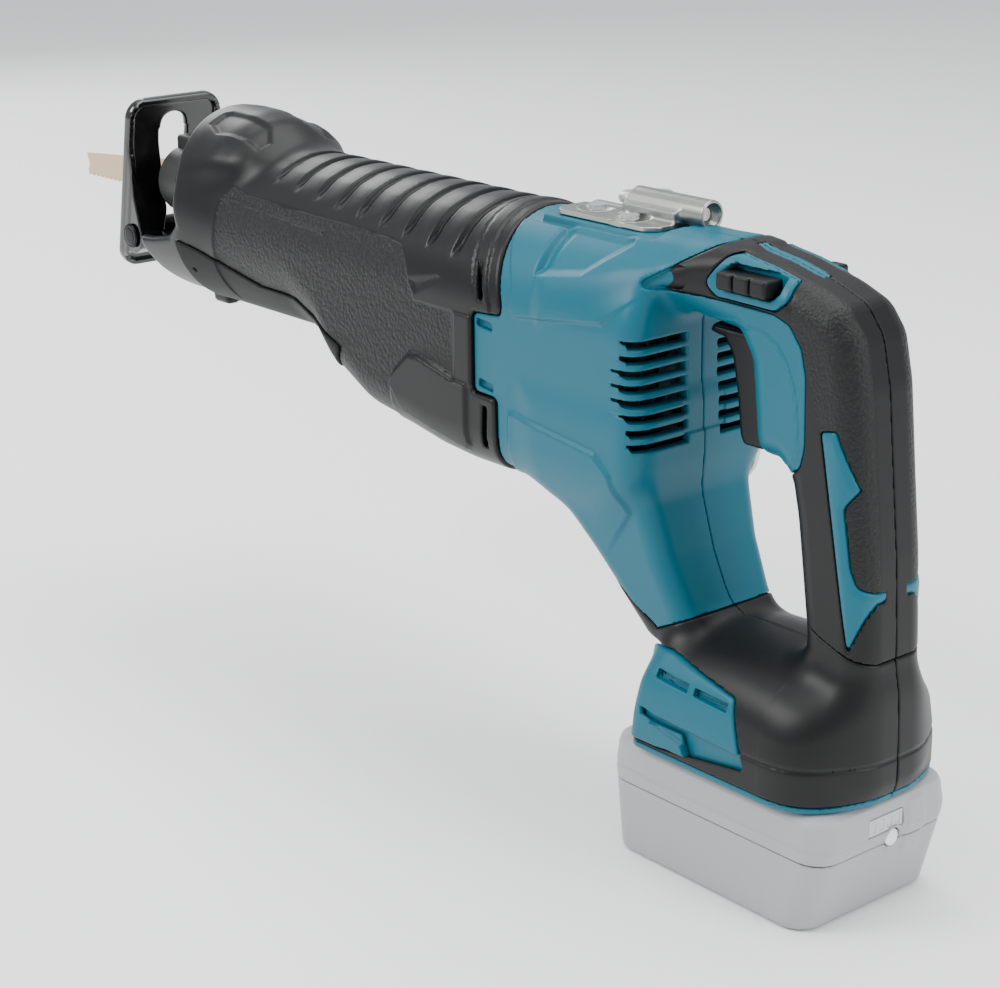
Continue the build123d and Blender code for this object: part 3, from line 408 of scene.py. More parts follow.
def moulded(name, colour, roughness, edge, wear=0.2, pebbles=0.0, pebble_size=0.0016, spark=0.3,
            depth=0.00006, drift=0.06, coat=0.0, specular=0.5, smudges=0.06):
    """Moulded plastic or rubber with its grain; pebbled finishes also get painted shade in the valleys
    between the pebbles.
    """
    material, tree, shader = start_material(name)
    worn = place_group(tree, WORN, {
        "Color": colour, "Edge Color": edge, "Roughness": roughness, "Edge Wear": wear,
        "Drift": drift, "Smudges": smudges,
    })
    grain = place_group(tree, GRAIN, {"Pebble Size": pebble_size, "Pebbles": pebbles, "Spark": spark})
    # painted shade: the pebble valleys are darkened towards 45% of the base colour
    valley_shade_colour = tuple(c * 0.45 for c in colour[:3]) + (1.0,)
    base = worn.outputs["Color"]
    if pebbles:
        base = mixed(tree, grain.outputs["Painted Valley Shade"], base, valley_shade_colour)
    tree.links.new(base, shader.inputs["Base Color"])
    tree.links.new(worn.outputs["Roughness"], shader.inputs["Roughness"])
    shader.inputs["Specular IOR Level"].default_value = specular
    if coat:
        shader.inputs["Coat Weight"].default_value = coat
        shader.inputs["Coat Roughness"].default_value = 0.12
    bump(tree, grain.outputs["Height"], depth, shader)
    return material


def metal(name, colour, roughness, scratches=0.25, clouds=0.15, metallic=1.0, depth=0.00001):
    """Bare, plated or coated metal."""
    material, tree, shader = start_material(name)
    drawn = place_group(tree, METAL, {
        "Color": colour, "Roughness": roughness, "Scratches": scratches, "Clouds": clouds,
    })
    tree.links.new(drawn.outputs["Color"], shader.inputs["Base Color"])
    tree.links.new(drawn.outputs["Roughness"], shader.inputs["Roughness"])
    shader.inputs["Metallic"].default_value = metallic
    bump(tree, drawn.outputs["Height"], depth, shader)
    return material


GREY_EDGE = rgb(58, 58, 60)
FINISH = {
    "body_plastic": moulded("teal_plastic", rgb(0, 90, 109), 0.4, rgb(26, 126, 142), spark=0.5,
                           specular=0.32),
    "boot_rubber": moulded("boot_satin", rgb(13, 13, 14), 0.36, GREY_EDGE, spark=0.5, specular=0.28,
                           smudges=0.14),
    "boot_band": moulded("boot_dull", rgb(12, 12, 13), 0.6, GREY_EDGE, spark=0.8, specular=0.2),
    "boot_pebble": moulded("boot_pebble", rgb(20, 20, 21), 0.46, GREY_EDGE, pebbles=1.0, pebble_size=0.0017,
                           depth=0.00045, wear=0.1, specular=0.3),
    "grip_rubber": moulded("grip_pebble", rgb(19, 19, 20), 0.46, GREY_EDGE, pebbles=1.0, pebble_size=0.0012,
                           depth=0.00028, wear=0.08, specular=0.3),
    "grip_smooth": moulded("grip_satin", rgb(12, 12, 13), 0.42, GREY_EDGE, spark=0.6, specular=0.28),
    "foot_rubber": moulded("foot_satin", rgb(12, 12, 13), 0.4, GREY_EDGE, spark=0.6, specular=0.28),
    "black_plastic": moulded("black_plastic", rgb(10, 10, 11), 0.42, GREY_EDGE, spark=0.5, specular=0.28),
    "button_plastic": moulded("button_plastic", rgb(11, 11, 12), 0.4, GREY_EDGE, spark=0.5, specular=0.28),
    "seal_rubber": moulded("seal_rubber", rgb(20, 20, 21), 0.6, GREY_EDGE),
    "shoe_enamel": moulded("gloss_enamel", rgb(6, 6, 7), 0.18, rgb(90, 92, 95), wear=0.5, spark=0.15,
                           coat=0.6, smudges=0.1),
    "pack_plastic": moulded("pack_plastic", rgb(158, 160, 162), 0.46, rgb(225, 226, 228), spark=0.6,
                           depth=0.00004),
    "pack_button": moulded("pack_button", rgb(158, 160, 163), 0.46, rgb(215, 216, 218), spark=0.6),
    "gauge_plastic": moulded("gauge_film", rgb(182, 184, 187), 0.22, rgb(210, 211, 213), spark=0.05,
                           coat=0.5),
    "gauge_button": moulded("gauge_button", rgb(233, 234, 235), 0.4, rgb(245, 245, 245)),
    "cell_wrap": moulded("cell_wrap", rgb(40, 120, 110), 0.25, rgb(90, 150, 140), spark=0.1),
    "coil_copper": metal("coil_copper", rgb(176, 92, 48), 0.32, clouds=0.3),
    "cast_case": metal("cast_alloy", rgb(150, 152, 154), 0.5, scratches=0.1, clouds=0.3),
    "zinc_steel": metal("zinc_steel", rgb(176, 178, 176), 0.34),
    "hook_zinc": metal("hook_zinc", rgb(158, 160, 156), 0.34, scratches=0.25, clouds=0.2, depth=0.000004),
    "bush_bronze": metal("bush_bronze", rgb(164, 120, 70), 0.34),
    "bearing_steel": metal("bearing_steel", rgb(190, 192, 194), 0.18),
    "gear_steel": metal("gear_steel", rgb(120, 122, 124), 0.32),
    "core_steel": metal("core_steel", rgb(100, 102, 106), 0.42),
    "black_steel": metal("blackened_steel", rgb(22, 22, 24), 0.3, scratches=0.2, metallic=0.7),
    "blade_coating": metal("blade_bronze", rgb(168, 128, 86), 0.5, scratches=0.3, clouds=0.12, metallic=0.55),
}


# ---- the tool's outer forms ----------------------------------------------------------------------
AXIS_H = 157.5              # axis of the round sleeve and of the motor housing's round top
SLEEVE_R = 39.0
GUARD_H = 164.5             # axis of the hand guard
SPINDLE_H = 168.0           # axis of the plunger and the blade
CRANK_X = -178.0
BODY_HALF = 37.5
BODY_REAR = -42.0
GRIP_HALF = 18.5
ARM_HALF = 25.0
FOOT_HALF = 40.5
BOOT_EDGE = [
    (-430, 80), (-430, 215), (-135, 215), (-117.3, 162), (-117, 157), (-134, 156), (-134, 122.5),
    (-120, 122), (-119.5, 106), (-124, 80),
]
ARM = [
    (-104, 130), (-101, 92), (-97, 87), (-88, 81), (-75.5, 67), (-43, 34), (-36, 8), (-14, 8),
    (-22, 51), (-33, 73), (-43, 105), (-43, 130),
]
GRIP = [
    (-62, 196), (-20, 198), (7, 194), (27, 189), (40, 184), (48, 174), (52, 156), (55, 126),
    (58.5, 93), (60.3, 60), (61, 8), (30, 8), (28, 62), (24.5, 87), (22, 104), (19, 117),
    (13, 123), (1, 123), (-3, 158), (-9, 167), (-30, 169), (-62, 169),
]
RUBBER_ON_GRIP = [
    (-47, 181.5), (-44, 179), (-23, 178.7), (12, 178), (20, 175.5), (26, 168), (28.5, 158), (29, 132),
    (27, 124), (20, 119.5), (-10, 110), (-10, 20), (90, 20), (90, 230), (-8, 230), (-17, 200), (-30, 192),
]
LOCK_FRAME = [(-20.5, 185), (-16, 180), (13, 179.5), (19, 184), (18, 195), (-6, 197), (-13, 195)]
LOCK_WELL = [(-15, 187.5), (-12, 183.2), (11.5, 182.8), (15, 186), (14.4, 192.2), (-10, 192.8)]
UPPER_PANEL = [
    (-135, 215), (-125, 188), (-112, 170), (-112, 160), (-108, 157.5), (-58, 163.7), (-38, 180), (-38, 215),
]
SHOULDER_RECESS = [(-101, 175), (-74, 179), (-57.5, 192.5), (-60, 196), (-103, 196)]
LOWER_PANEL = [
    (-113, 119), (-109, 120), (-60, 114.5), (-51, 107), (-47, 90), (-70, 60), (-130, 60), (-114, 98),
]
ARROW = [(37, 140), (44, 141.5), (53, 121), (48.5, 114), (52, 92), (54.5, 85), (60, 82), (52.6, 59.6)]
FOOT_RUBBER = [
    (-92, 84), (-84, 79), (-70, 62), (-38, 45), (-14, 56.5), (-8, 64), (10, 70), (80, 70), (80, 2.6),
    (-60, 2.6),
]
FOOT_PANEL = [(-60, 2.8), (-31, 4), (-22, 4), (24, 10), (14.5, 35), (-24, 41), (-60, 40)]
TRIGGER = [
    (-31, 162.7), (-23, 161.6), (-19, 156), (-15.8, 141), (-14, 126), (-12, 122.3), (-2, 122.3), (4, 128),
    (4, 158), (-1, 166), (-29, 166),
]


def rounded_box(y, h, half, low, corner):
    """Section with the round top of the sleeve and a flat, round-cornered underside."""
    top = np.hypot(y, h - AXIS_H) - half
    p = np.abs(y) - (half - corner)
    q = low + corner - h
    base = np.hypot(np.maximum(p, 0), np.maximum(q, 0)) + np.minimum(np.maximum(p, q), 0) - corner
    return np.where(h > AXIS_H, top, base)


def along(x, *stations):
    """A value that runs smoothly from station to station along X."""
    xs, values = zip(*stations)
    result = np.interp(x, xs, values)
    for shift in (1.5, 3.0):
        result = result + np.interp(x - shift, xs, values) + np.interp(x + shift, xs, values)
    return result / 5


def inside(flat, bevel):
    """From 0 at an outline's edge to 1 at the given distance inside it."""
    return ease(-flat, 0.0, bevel)


def guard_form(x, y, h):
    """The hand guard's outside: a lip all round, carried far back only over the crown."""
    low = along(
        x, (-411, 39.5), (-377, 42), (-362, 42.5), (-350, 43), (-341, 41.5), (-330, 39), (-315, 34),
        (-300, 26),
    )
    high = along(
        x, (-365, 42.5), (-356, 45), (-345, 45.6), (-326, 45.2), (-313, 42.5), (-303, 36.5),
        (-296, 30), (-286, 22),
    )
    crown = ease(h, 172, 194)
    return np.hypot(y * 1.06, h - GUARD_H) - (low + (high - low) * crown)


def sleeve(x, y, h):
    """The round sleeve with the gear belly under it."""
    low = along(
        x, (-430, 118.5), (-262, 118.5), (-246, 115.5), (-233, 104.5), (-212, 95.5), (-186, 93.5),
        (-163, 89.5), (-143, 88), (-110, 88),
    )
    corner = along(x, (-270, 39), (-235, 26), (-190, 20))
    return rounded_box(y, h, SLEEVE_R, low, corner)


RIB_FIRST, RIB_PITCH, RIB_COUNT = -286.0, 17.0, 9
TEXTURE = [
    (-322, 150), (-318, 176), (-312, 181), (-300, 178.5), (-206, 177), (-184, 175.5), (-178, 169),
    (-171, 154.5), (-146, 154), (-146, 127), (-174, 131.5), (-186, 121), (-200, 60), (-320, 60),
]
HEEL_PANEL = [
    (-175, 130.5), (-169, 131.5), (-146, 126.5), (-136, 126), (-136, 99), (-140, 95), (-181, 103),
    (-190, 117),
]
FLAP = [
    (-351, 151), (-338, 149), (-318, 144.5), (-290, 138), (-264, 137.5), (-224, 123.5), (-232, 112),
    (-262, 100), (-351, 100),
]


def rim_back(x, h):
    """How far a point lies ahead of the boot's rear rim."""
    rim = np.where(h > 150, -117.3 - 0.335 * np.maximum(h - 160, 0), -120.0)
    return rim - x


def boot_skin(x, y, h, bed=1.0):
    """The boot's outside, without its ends; bed sinks the place where the lower cover lies."""
    skin = sleeve(x, y, h)
    side = np.abs(y)
    ahead = rim_back(x, h)
    # ribs over the crest: broad bands with narrow stepped grooves between
    for i in range(RIB_COUNT):
        s = x - (RIB_FIRST + i * RIB_PITCH)
        end = 187.0 - i * 1.25
        settled = ease(s, 0.9, 3.6)
        step = ease(s, -1.3, -0.2) * (1 - settled) + 0.22 * settled * (1 - ease(s, 3.6, 13))
        skin = skin + 2.1 * step * ease(h, end - 3.0, end + 3.0)
    crest = ease(h, 190.5, 193.0) * ease(-x, 140, 150) * ease(x, -296, -286)
    skin = skin + 0.5 * crest
    # grained side panel, set into the smooth upper part
    skin = skin + 0.7 * inside(outline(x, h, TEXTURE), 1.1) * ease(side, 20, 30)
    line = slab(x, -312, -237)
    strip = np.maximum(np.abs(h - 175.4 + 0.052 * (x + 312)) - 0.9, line)
    skin = skin - 0.9 * inside(strip, 0.7)
    skin = skin - 1.5 * inside(outline(x, h, HEEL_PANEL), 1.6)
    skin = skin + 1.1 * bed * inside(outline(x, h, FLAP) - 0.5, 1.2)
    wedge = outline(x, h, [(-177, 163), (-157, 167.5), (-152, 166), (-170, 156)])
    skin = skin + 0.8 * inside(wedge, 3.0)
    # dull band round the rear rim, and a fine line ahead of it
    skin = skin + 0.9 * ease(5.5 - ahead, -0.6, 0.6) * ease(h, 156, 158)
    fine = np.abs(ahead - 13.5) - 0.6
    skin = skin + 0.35 * (1 - ease(fine, 0.0, 0.6)) * ease(h, 160, 170)
    strip = np.maximum(slab(x, -144.5, -130), slab(h, 124.5, 154))
    skin = skin - 0.7 * inside(strip, 0.8)
    skin = join(skin, guard_form(x, y, h), 6.0)
    # dished facets on both shoulders of the guard's crown
    dish = outline(x, side, [
        (-346, 12), (-342, 9), (-312, 8), (-304, 14), (-306, 22), (-334, 26), (-346, 22),
    ])
    return skin + 1.5 * inside(dish, 3.5) * ease(h, 180, 192)


def boot_form(x, y, h):
    swept = 0.0065 + 0.0095 * (1 - ease(h, 146, 172))
    front = outline(x - swept * y * y, h, [
        (-377, 119), (-395, 129), (-409, 142), (-408.5, 146), (-397, 147.5), (-381, 151), (-369, 158),
        (-362.5, 170), (-359.5, 188), (-356.5, 215), (-60, 215), (-60, 60), (-377, 60),
    ])
    shape = both(boot_skin(x, y, h), front, 3.0)
    bore = along(x, (-411, 36.5), (-366, 38.6), (-352, 35.5), (-331, 27.5), (-325, 27.0))
    mouth = both(np.hypot(y * 1.06, h - GUARD_H) - bore, x + 330.0, 2.0)
    shape = cut(shape, mouth, 2.0)
    room = both(np.hypot(y, h - AXIS_H) - 34.0, -(x + 326.0), 2.0)
    low = along(x, (-430, 124), (-262, 124), (-233, 110), (-212, 100), (-163, 94), (-110, 93))
    belly = rounded_box(y, h, 34.5, low, along(x, (-270, 33.5), (-235, 22), (-190, 16)))
    shape = cut(shape, np.minimum(room, np.maximum(belly, -(x + 262.0))), 1.0)
    rear = soft_outline(x, h, BOOT_EDGE, 1.6)
    shape = both(shape, rear, 1.4)
    side = np.abs(y)
    # slots in the rear tabs, clear of the housing's own lugs
    slot_up = np.maximum(np.abs(rim_back(x, h) - 10.2) - 1.4, slab(h, 161.5, 175.5))
    slot_down = np.maximum(np.abs(x + 126.5 - 0.05 * (h - 110)) - 1.5, slab(h, 100.5, 118))
    slots = both(np.minimum(slot_up, slot_down), 33.5 - side, 0.5)
    shape = cut(shape, slots, 0.8)
    # lug under the guard, and the passage of the shoe's bar and its lock
    lug = both(both(slab(x, -363, -350), slab(h, 115, 128), 2.0), side - 13, 2.5)
    shape = join(shape, lug, 2.0)
    bar_slot = np.maximum(np.maximum(slab(h, 130, 140), side - 16), slab(x, -420, -330))
    button_well = np.maximum(np.maximum(np.abs(x + 346) - 6.4, side - 6.4), h - 131)
    return cut(shape, np.minimum(bar_slot, button_well), 0.6)


def gear_case_form(x, y, h):
    """The cast gear case, which lines the boot's inner wall and ends in the plunger's nose."""
    from_nose = np.hypot(y, h - SPINDLE_H)
    case = both(sleeve(x, y, h) + 5.7, slab(x, -322, -140.2), 3.0)
    case = join(case, both(from_nose - 16.5, slab(x, -349, -300), 1.0), 3.0)
    room = both(sleeve(x, y, h) + 8.4, slab(x, -311, -130), 2.0)
    gear = both(np.hypot(x - CRANK_X, y) - 31.0, slab(h, 96.3, 140), 0.5)
    case = cut(case, np.minimum(room, gear), 0.6)
    return cut(case, both(from_nose - 13.1, slab(x, -360, -305), 0.3), 0.3)


def flap_form(x, y, h):
    """Smooth cover low on the sleeve's sides, over the shoe's adjuster."""
    under = boot_skin(x, y, h, 0.0)
    edge = soft_outline(x, h, FLAP, 1.2)
    shell = both(both(under - 1.2, edge, 0.9), -(under + 0.9), 0.3)
    hole = np.hypot(x + 343.0, h - 137.5) - 1.0
    return cut(shell, hole, 0.5)


def body_skin(x, y, h):
    """Motor housing, arm, handle and foot in one skin."""
    side = np.abs(y)
    body = rounded_box(y, h, BODY_HALF, 88.0, 20.0)
    body = both(body, x - BODY_REAR - 0.8, 9.0)
    body = both(body, 88.5 - h + 0.62 * np.maximum(x + 66, 0), 8.0)
    arm = bar(soft_outline(x, h, ARM, 2.0), side, ARM_HALF + along(h, (40, 0), (90, 5), (110, 8)), 9.0)
    grip = bar(soft_outline(x, h, GRIP, 2.5), side, GRIP_HALF, 11.0)
    shoulder_half = along(x, (-95, 38), (-66, 33), (-42, 26), (-22, 18.5), (-10, 14))
    shoulder = bar(
        outline(x, h, [(-95, 158), (-58, 164), (-40, 177), (-12, 178), (-12, 195), (-95, 195)]),
        side, shoulder_half, 7.0,
    )
    shoulder = both(shoulder, np.hypot(y, h - AXIS_H) - 38.4, 3.0)
    body = join(body, shoulder, 5.0)
    skin = join(join(body, arm, 12.0), grip, 7.0)
    lean = 7.5 * np.clip((h - 14) / 34, 0, 1) ** 1.4
    middle = 31.0
    reach = 30.3 - lean / 3
    half = FOOT_HALF - lean
    bulge = (np.abs(np.maximum(x - middle, 0) / reach) ** 2.5 + (side / half) ** 2.5) ** 0.4
    plan = np.where(x > middle, (bulge - 1) * 0.5 * (reach + half), side - half)
    plan = both(plan, -(x + 38.5 - 0.13 * h), 6.0)
    top = h - (51.0 - 0.0095 * y * y - 0.0022 * (x - 5) ** 2)
    foot = both(both(plan, top, 9.0), -h, 0.8)
    skin = join(skin, foot, 11.0)
    # handled facets: raised flank panels, recess beside the bracket, flat under the bracket
    skin = skin - 1.3 * inside(outline(x, h, UPPER_PANEL), 1.8) * ease(side, 15.5, 17) * ease(-x, 40, 62)
    skin = skin + 2.4 * inside(outline(x, h, SHOULDER_RECESS), 3.2) * ease(side, 15.5, 18.5)
    skin = skin - 1.4 * inside(outline(x, h, LOWER_PANEL), 2.2) * ease(side, 8, 14) * ease(h, 66, 84)
    pad = np.maximum(np.maximum(slab(x, -117, -53), side - 15.0), 190 - h)
    skin = both(skin, np.where(np.maximum(slab(x, -119, -51), side - 19) < 0, h - 195.25, -30.0), 1.0)
    return join(skin, both(pad, h - 195.3, 0.6), 1.0)


VENT_COUNT, VENT_LOW, VENT_PITCH = 8, 118.3, 5.7


def lug_edge(x, h):
    """Where the motor housing stops against the boot, seen from the side."""
    return -soft_outline(x, h, BOOT_EDGE, 1.6)


def grip_rubber(x, h):
    """Where the handle carries soft rubber: negative inside."""
    return soft_outline(x, h, RUBBER_ON_GRIP, 1.5)


def housing_form(x, y, h):
    skin = body_skin(x, y, h)
    side = np.abs(y)
    rubber_edge = grip_rubber(x, h)
    frame_edge = soft_outline(x, h, LOCK_FRAME, 1.6)
    foot_edge = soft_outline(x, h, FOOT_RUBBER, 1.2)
    # a raised bead round the trigger side
    rim = np.hypot(outline(x, h, [
        (-30, 169), (-8, 171.5), (7, 170.6), (14.6, 167), (19.7, 161), (23.5, 152), (25, 141), (26, 130.5),
        (24, 124), (-10, 122), (-30, 160),
    ]), skin)
    # the soft skins lie in shallow beds
    bed = np.minimum(np.maximum(rubber_edge, -frame_edge), foot_edge)
    shape = np.maximum(skin, np.minimum(-bed, skin + 1.9))
    frame = both(skin - 0.9, frame_edge, 0.8)
    frame = both(frame, 12.0 - side, 0.5)
    shape = join(shape, np.where(x < 30, np.maximum(frame, -(skin + 2.5)), 9.0), 0.3)
    shape = join(shape, np.where((x < 28) & (h > 120), np.maximum(rim - 0.55, 0), 9.0), 0.6)
    well = both(soft_outline(x, h, LOCK_WELL, 1.2), 13.0 - side, 0.6)
    shape = cut(shape, well, 0.6)
    inlay = both(both(slab(x, -12, 21), side - 2.2, 0.8), -(skin + 2.0), 0.3)
    shape = np.minimum(shape, np.maximum(np.maximum(inlay, skin - 0.25), 180 - h))
    # rear cooling slots, wrapped round both corners, with slanted outer ends
    for i in range(VENT_COUNT):
        level = VENT_LOW + VENT_PITCH * i
        outer = 35.6 + 1.2 * math.sin(math.pi * (i + 0.7) / (VENT_COUNT + 0.5))
        vent = np.maximum(np.abs(h - level) - 1.45, slab(side, 8.5, outer + 0.5 * (h - level)))
        vent = np.maximum(vent, slab(x, -53, -33))
        shape = cut(shape, vent, 0.7)
    # two small keyways just behind the boot
    keys = np.minimum(
        np.maximum(slab(x, -132, -122.5), np.abs(h - 151.5 + 0.08 * (x + 127)) - 1.5),
        np.maximum(slab(x, -131, -122), np.abs(h - 126.5 + 0.12 * (x + 127)) - 1.6),
    )
    shape = cut(shape, both(keys, -(skin + 2.2), 0.4), 0.6)
    # rooms inside
    hollow = np.maximum(skin + 4.2, lug_edge(x, h) - 30)
    shape = np.maximum(shape, -hollow)
    window = np.maximum(np.maximum(slab(x, -40, 10), slab(h, 120.5, 167.5)), side - 10.6)
    shape = cut(shape, window, 0.8)
    channel = np.maximum(np.maximum(x - 42.3, h - 12.4), side - 27.4)
    shape = cut(shape, channel, 0.6)
    neck = np.maximum(x + 112, rounded_box(y, h, 31.0, 95.0, 14.0))
    shape = cut(shape, neck, 0.5)
    shape = both(shape, lug_edge(x, h) + 0.25, 1.0)
    return both(shape, -(x + 134.0), 0.8)


def half_only(form, gap=PARTING):
    """The left half of a form, up to the parting plane."""
    return lambda x, y, h: both(form(x, y, h), y + gap, 0.5)


def grip_skin_form(x, y, h):
    skin = body_skin(x, y, h)
    side = np.abs(y)
    clear_of_frame = np.minimum(0.35 - soft_outline(x, h, LOCK_FRAME, 1.6), side - 11.0)
    region = np.maximum(grip_rubber(x, h) + 0.25, clear_of_frame)
    shape = both(both(skin - 0.35, region, 1.0), -(skin + SKIN_DEEP), 0.2)
    shape = cut(shape, both(soft_outline(x, h, ARROW, 0.8) - 0.2, 6.0 - side, 0.2), 0.5)
    shape = cut(shape, np.maximum(np.maximum(slab(x, -12.3, 21.3), side - 2.5), 180 - h), 0.5)
    # seam of the two-part mould down the grip's inner face, and fine ribs there
    rib = np.minimum(np.abs(side - 6.5), np.abs(side - 10.5)) - 0.35
    inner = ease(30 - x + 0.12 * (60 - h), -2, 1) * ease(h, 62, 66) * (1 - ease(h, 112, 116))
    shape = shape + 0.5 * (1 - ease(rib, 0, 0.5)) * inner
    shape = np.maximum(shape, -(foot_blend(x, h) - 0.2))
    return np.maximum(shape, -(x + 60))


def foot_blend(x, h):
    """The line where the grip's skin ends and the foot's begins; negative on the foot's side."""
    return h - 66.0 + 0.35 * (x - 30)


def foot_skin_form(x, y, h):
    skin = body_skin(x, y, h)
    side = np.abs(y)
    region = soft_outline(x, h, FOOT_RUBBER, 1.2) + 0.2
    region = np.maximum(region, foot_blend(x, h) + 0.1)
    shape = both(both(skin - 0.3, region, 1.0), -(skin + SKIN_DEEP), 0.2)
    panel = both(soft_outline(x, h, FOOT_PANEL, 1.2), 12.0 - side, 0.5)
    shape = cut(shape, panel, 0.7)
    channel = np.maximum(np.maximum(x + 20, h - 12.6), side - 27.6)
    shape = cut(shape, channel, 0.5)
    # shallow waist line round the foot
    return shape + 0.5 * (1 - ease(np.abs(h - 16.5 - 0.02 * (x - 20)) - 0.1, 0, 1.3)) * ease(x, 14, 20)


def foot_panel_form(x, y, h):
    skin = body_skin(x, y, h)
    side = np.abs(y)
    edge = soft_outline(x, h, FOOT_PANEL, 1.2) + 0.3
    shape = both(both(skin - 0.7, edge, 1.0), -(skin + SKIN_DEEP), 0.2)
    shape = both(shape, 27.8 - side, 0.3)
    for low, high in ((-26, -8.5), (-5, 12.5)):
        slot = np.maximum(slab(x, low, high), np.abs(h - 31.5 + 0.05 * x) - 1.6)
        shape = cut(shape, both(slot, -(skin + 1.4), 0.3), 0.5)
    notch = outline(x, h, [(-32, 19), (-22, 17.5), (23, 16), (24, 8), (-6, 6.2), (-8, 10), (-31, 15)])
    shape = shape + 1.6 * inside(notch, 1.0)
    badge = outline(x, h, [(-26, 14.5), (-8, 14.5), (-5, 5.5), (-23, 5.5)])
    return shape - 1.4 * inside(badge, 0.9)


def arrow_form(x, y, h):
    skin = body_skin(x, y, h)
    edge = soft_outline(x, h, ARROW, 0.8) + 0.15
    face = skin - 0.3 - 0.5 * inside(edge, 2.6)
    return both(both(face, edge, 0.7), -(skin + 1.6), 0.2)


# ---- smaller pieces ----------------------------------------------------------------------------------
SHOE_PIN_X, SHOE_PIN_H, SHOE_LEAN = -413.0, 141.0, math.radians(11)
SHOE_HALF_W, SHOE_HALF_H, SHOE_MIDDLE = 26.0, 42.5, 23.5
SHOE_CORNER = 9.0
TRIGGER_PIN_X, TRIGGER_PIN_H = -1.0, 162.0
TUBE_Y, TUBE_H = 8.0, 201.6             # axis of the hook's rolled tube
BRACKET_SCREWS = ((-101.0, 0.0), (-77.0, -5.0))


def shoe_form(x, y, h):
    """Pressed steel shoe: dished plate with rolled edges, a long slot and two ears on the pin."""
    dx, dh = x - SHOE_PIN_X, h - SHOE_PIN_H
    up = dx * math.sin(SHOE_LEAN) + dh * math.cos(SHOE_LEAN)
    back = dx * math.cos(SHOE_LEAN) - dh * math.sin(SHOE_LEAN)
    side = np.abs(y)
    p = side - (SHOE_HALF_W - SHOE_CORNER)
    q = np.abs(up - SHOE_MIDDLE) - (SHOE_HALF_H - SHOE_CORNER)
    face = np.hypot(np.maximum(p, 0), np.maximum(q, 0)) + np.minimum(np.maximum(p, q), 0) - SHOE_CORNER
    plate = both(face, np.abs(back + 9.5) - 1.5, 1.2)
    turned = both(both(np.abs(face + 1.2) - 1.35, slab(back, -11, -3.5), 1.2), 0.0, 0.1)
    shape = join(plate, turned, 1.6)
    ear = bar(soft_outline(back, up, [
        (-10, 50), (-10, -14), (-4, -10), (3.5, -8.5), (8, -4), (8.5, 2), (5.5, 7), (-1, 20), (-6, 38),
    ], 1.2), side - 24.4, 1.45, 0.8)
    shape = join(shape, ear, 1.5)
    slot_wide = 7.7 + 4.0 * ease(-up, -14, -2)
    round_top = np.hypot(y, np.maximum(up - 50.5, 0)) - 7.7
    slot = both(np.abs(y) - slot_wide, both(-(up + 6.0), np.where(up > 50.5, round_top, -9.0), 1.0), 3.0)
    shape = cut(shape, slot, 1.2)
    bore = np.hypot(back, up) - 3.1
    shape = cut(shape, bore, 0.2)
    return shape


def shoe_pin_form(x, y, h):
    """Hinge pin with domed, upset heads on both ears."""
    r = np.hypot(x - SHOE_PIN_X, h - SHOE_PIN_H)
    side = np.abs(y)
    shank = both(r - 3.0, side - 27, 0.3)
    head = both(both(r - 6.0, slab(side, 26.2, 28.0), 0.9), r * r * 0.02 + side - 28.3, 0.6)
    ring_groove = np.hypot(r - 4.4, side - 28.0) - 0.35
    return cut(join(shank, head, 0.3), ring_groove, 0.3)


def shoe_arm_form(x, y, h):
    """Flat bar that carries the shoe, with adjusting notches underneath and an eye for the pin."""
    side = np.abs(y)
    flat = both(slab(h, 131.1, 138.9), side - 13.9, 1.4)
    stock = both(flat, slab(x, -405, -291), 1.4)
    for i in range(5):
        stock = cut(stock, both(np.abs(x + 352 - 9 * i) - 2.2, h - 132.6, 0.4), 0.4)
    eye = both(np.hypot(x - SHOE_PIN_X, h - SHOE_PIN_H) - 7.0, side - 13.9, 1.0)
    neck = both(outline(x, h, [(-414, 148), (-398, 139), (-398, 131), (-412, 134.5)]), side - 13.9, 1.0)
    shape = join(join(stock, eye, 2.0), neck, 3.0)
    return cut(shape, np.hypot(x - SHOE_PIN_X, h - SHOE_PIN_H) - 3.1, 0.2)


def trigger_form(x, y, h):
    """Rocking trigger: crowned finger face with a fine step down each side."""
    side = np.abs(y)
    crowned = soft_outline(x - 0.020 * y * y, h, TRIGGER, 0.8)
    shape = bar(crowned, side, 9.7, 2.6)
    step = 1.0 - ease(np.abs(side - 8.4), 0.1, 0.5)
    shape = shape + 0.3 * step
    return cut(shape, np.hypot(x - TRIGGER_PIN_X, h - TRIGGER_PIN_H) - 1.6, 0.2)


def lock_off_form(x, y, h):
    """Lock-off slider: a block through the handle with three rounded ribs on each end."""
    side = np.abs(y)
    core = both(both(slab(x, -13.3, 11.3), slab(h, 183.7, 190.3), 1.2), side - 21.0, 0.8)
    for x_rib in (-9.4, -1.0, 7.4):
        block = both(both(np.abs(x - x_rib) - 3.9, slab(h, 183.6, 190.4), 1.3), side - 22.6, 1.5)
        core = join(core, both(block, 15.0 - side, 0.3), 0.4)
    return core


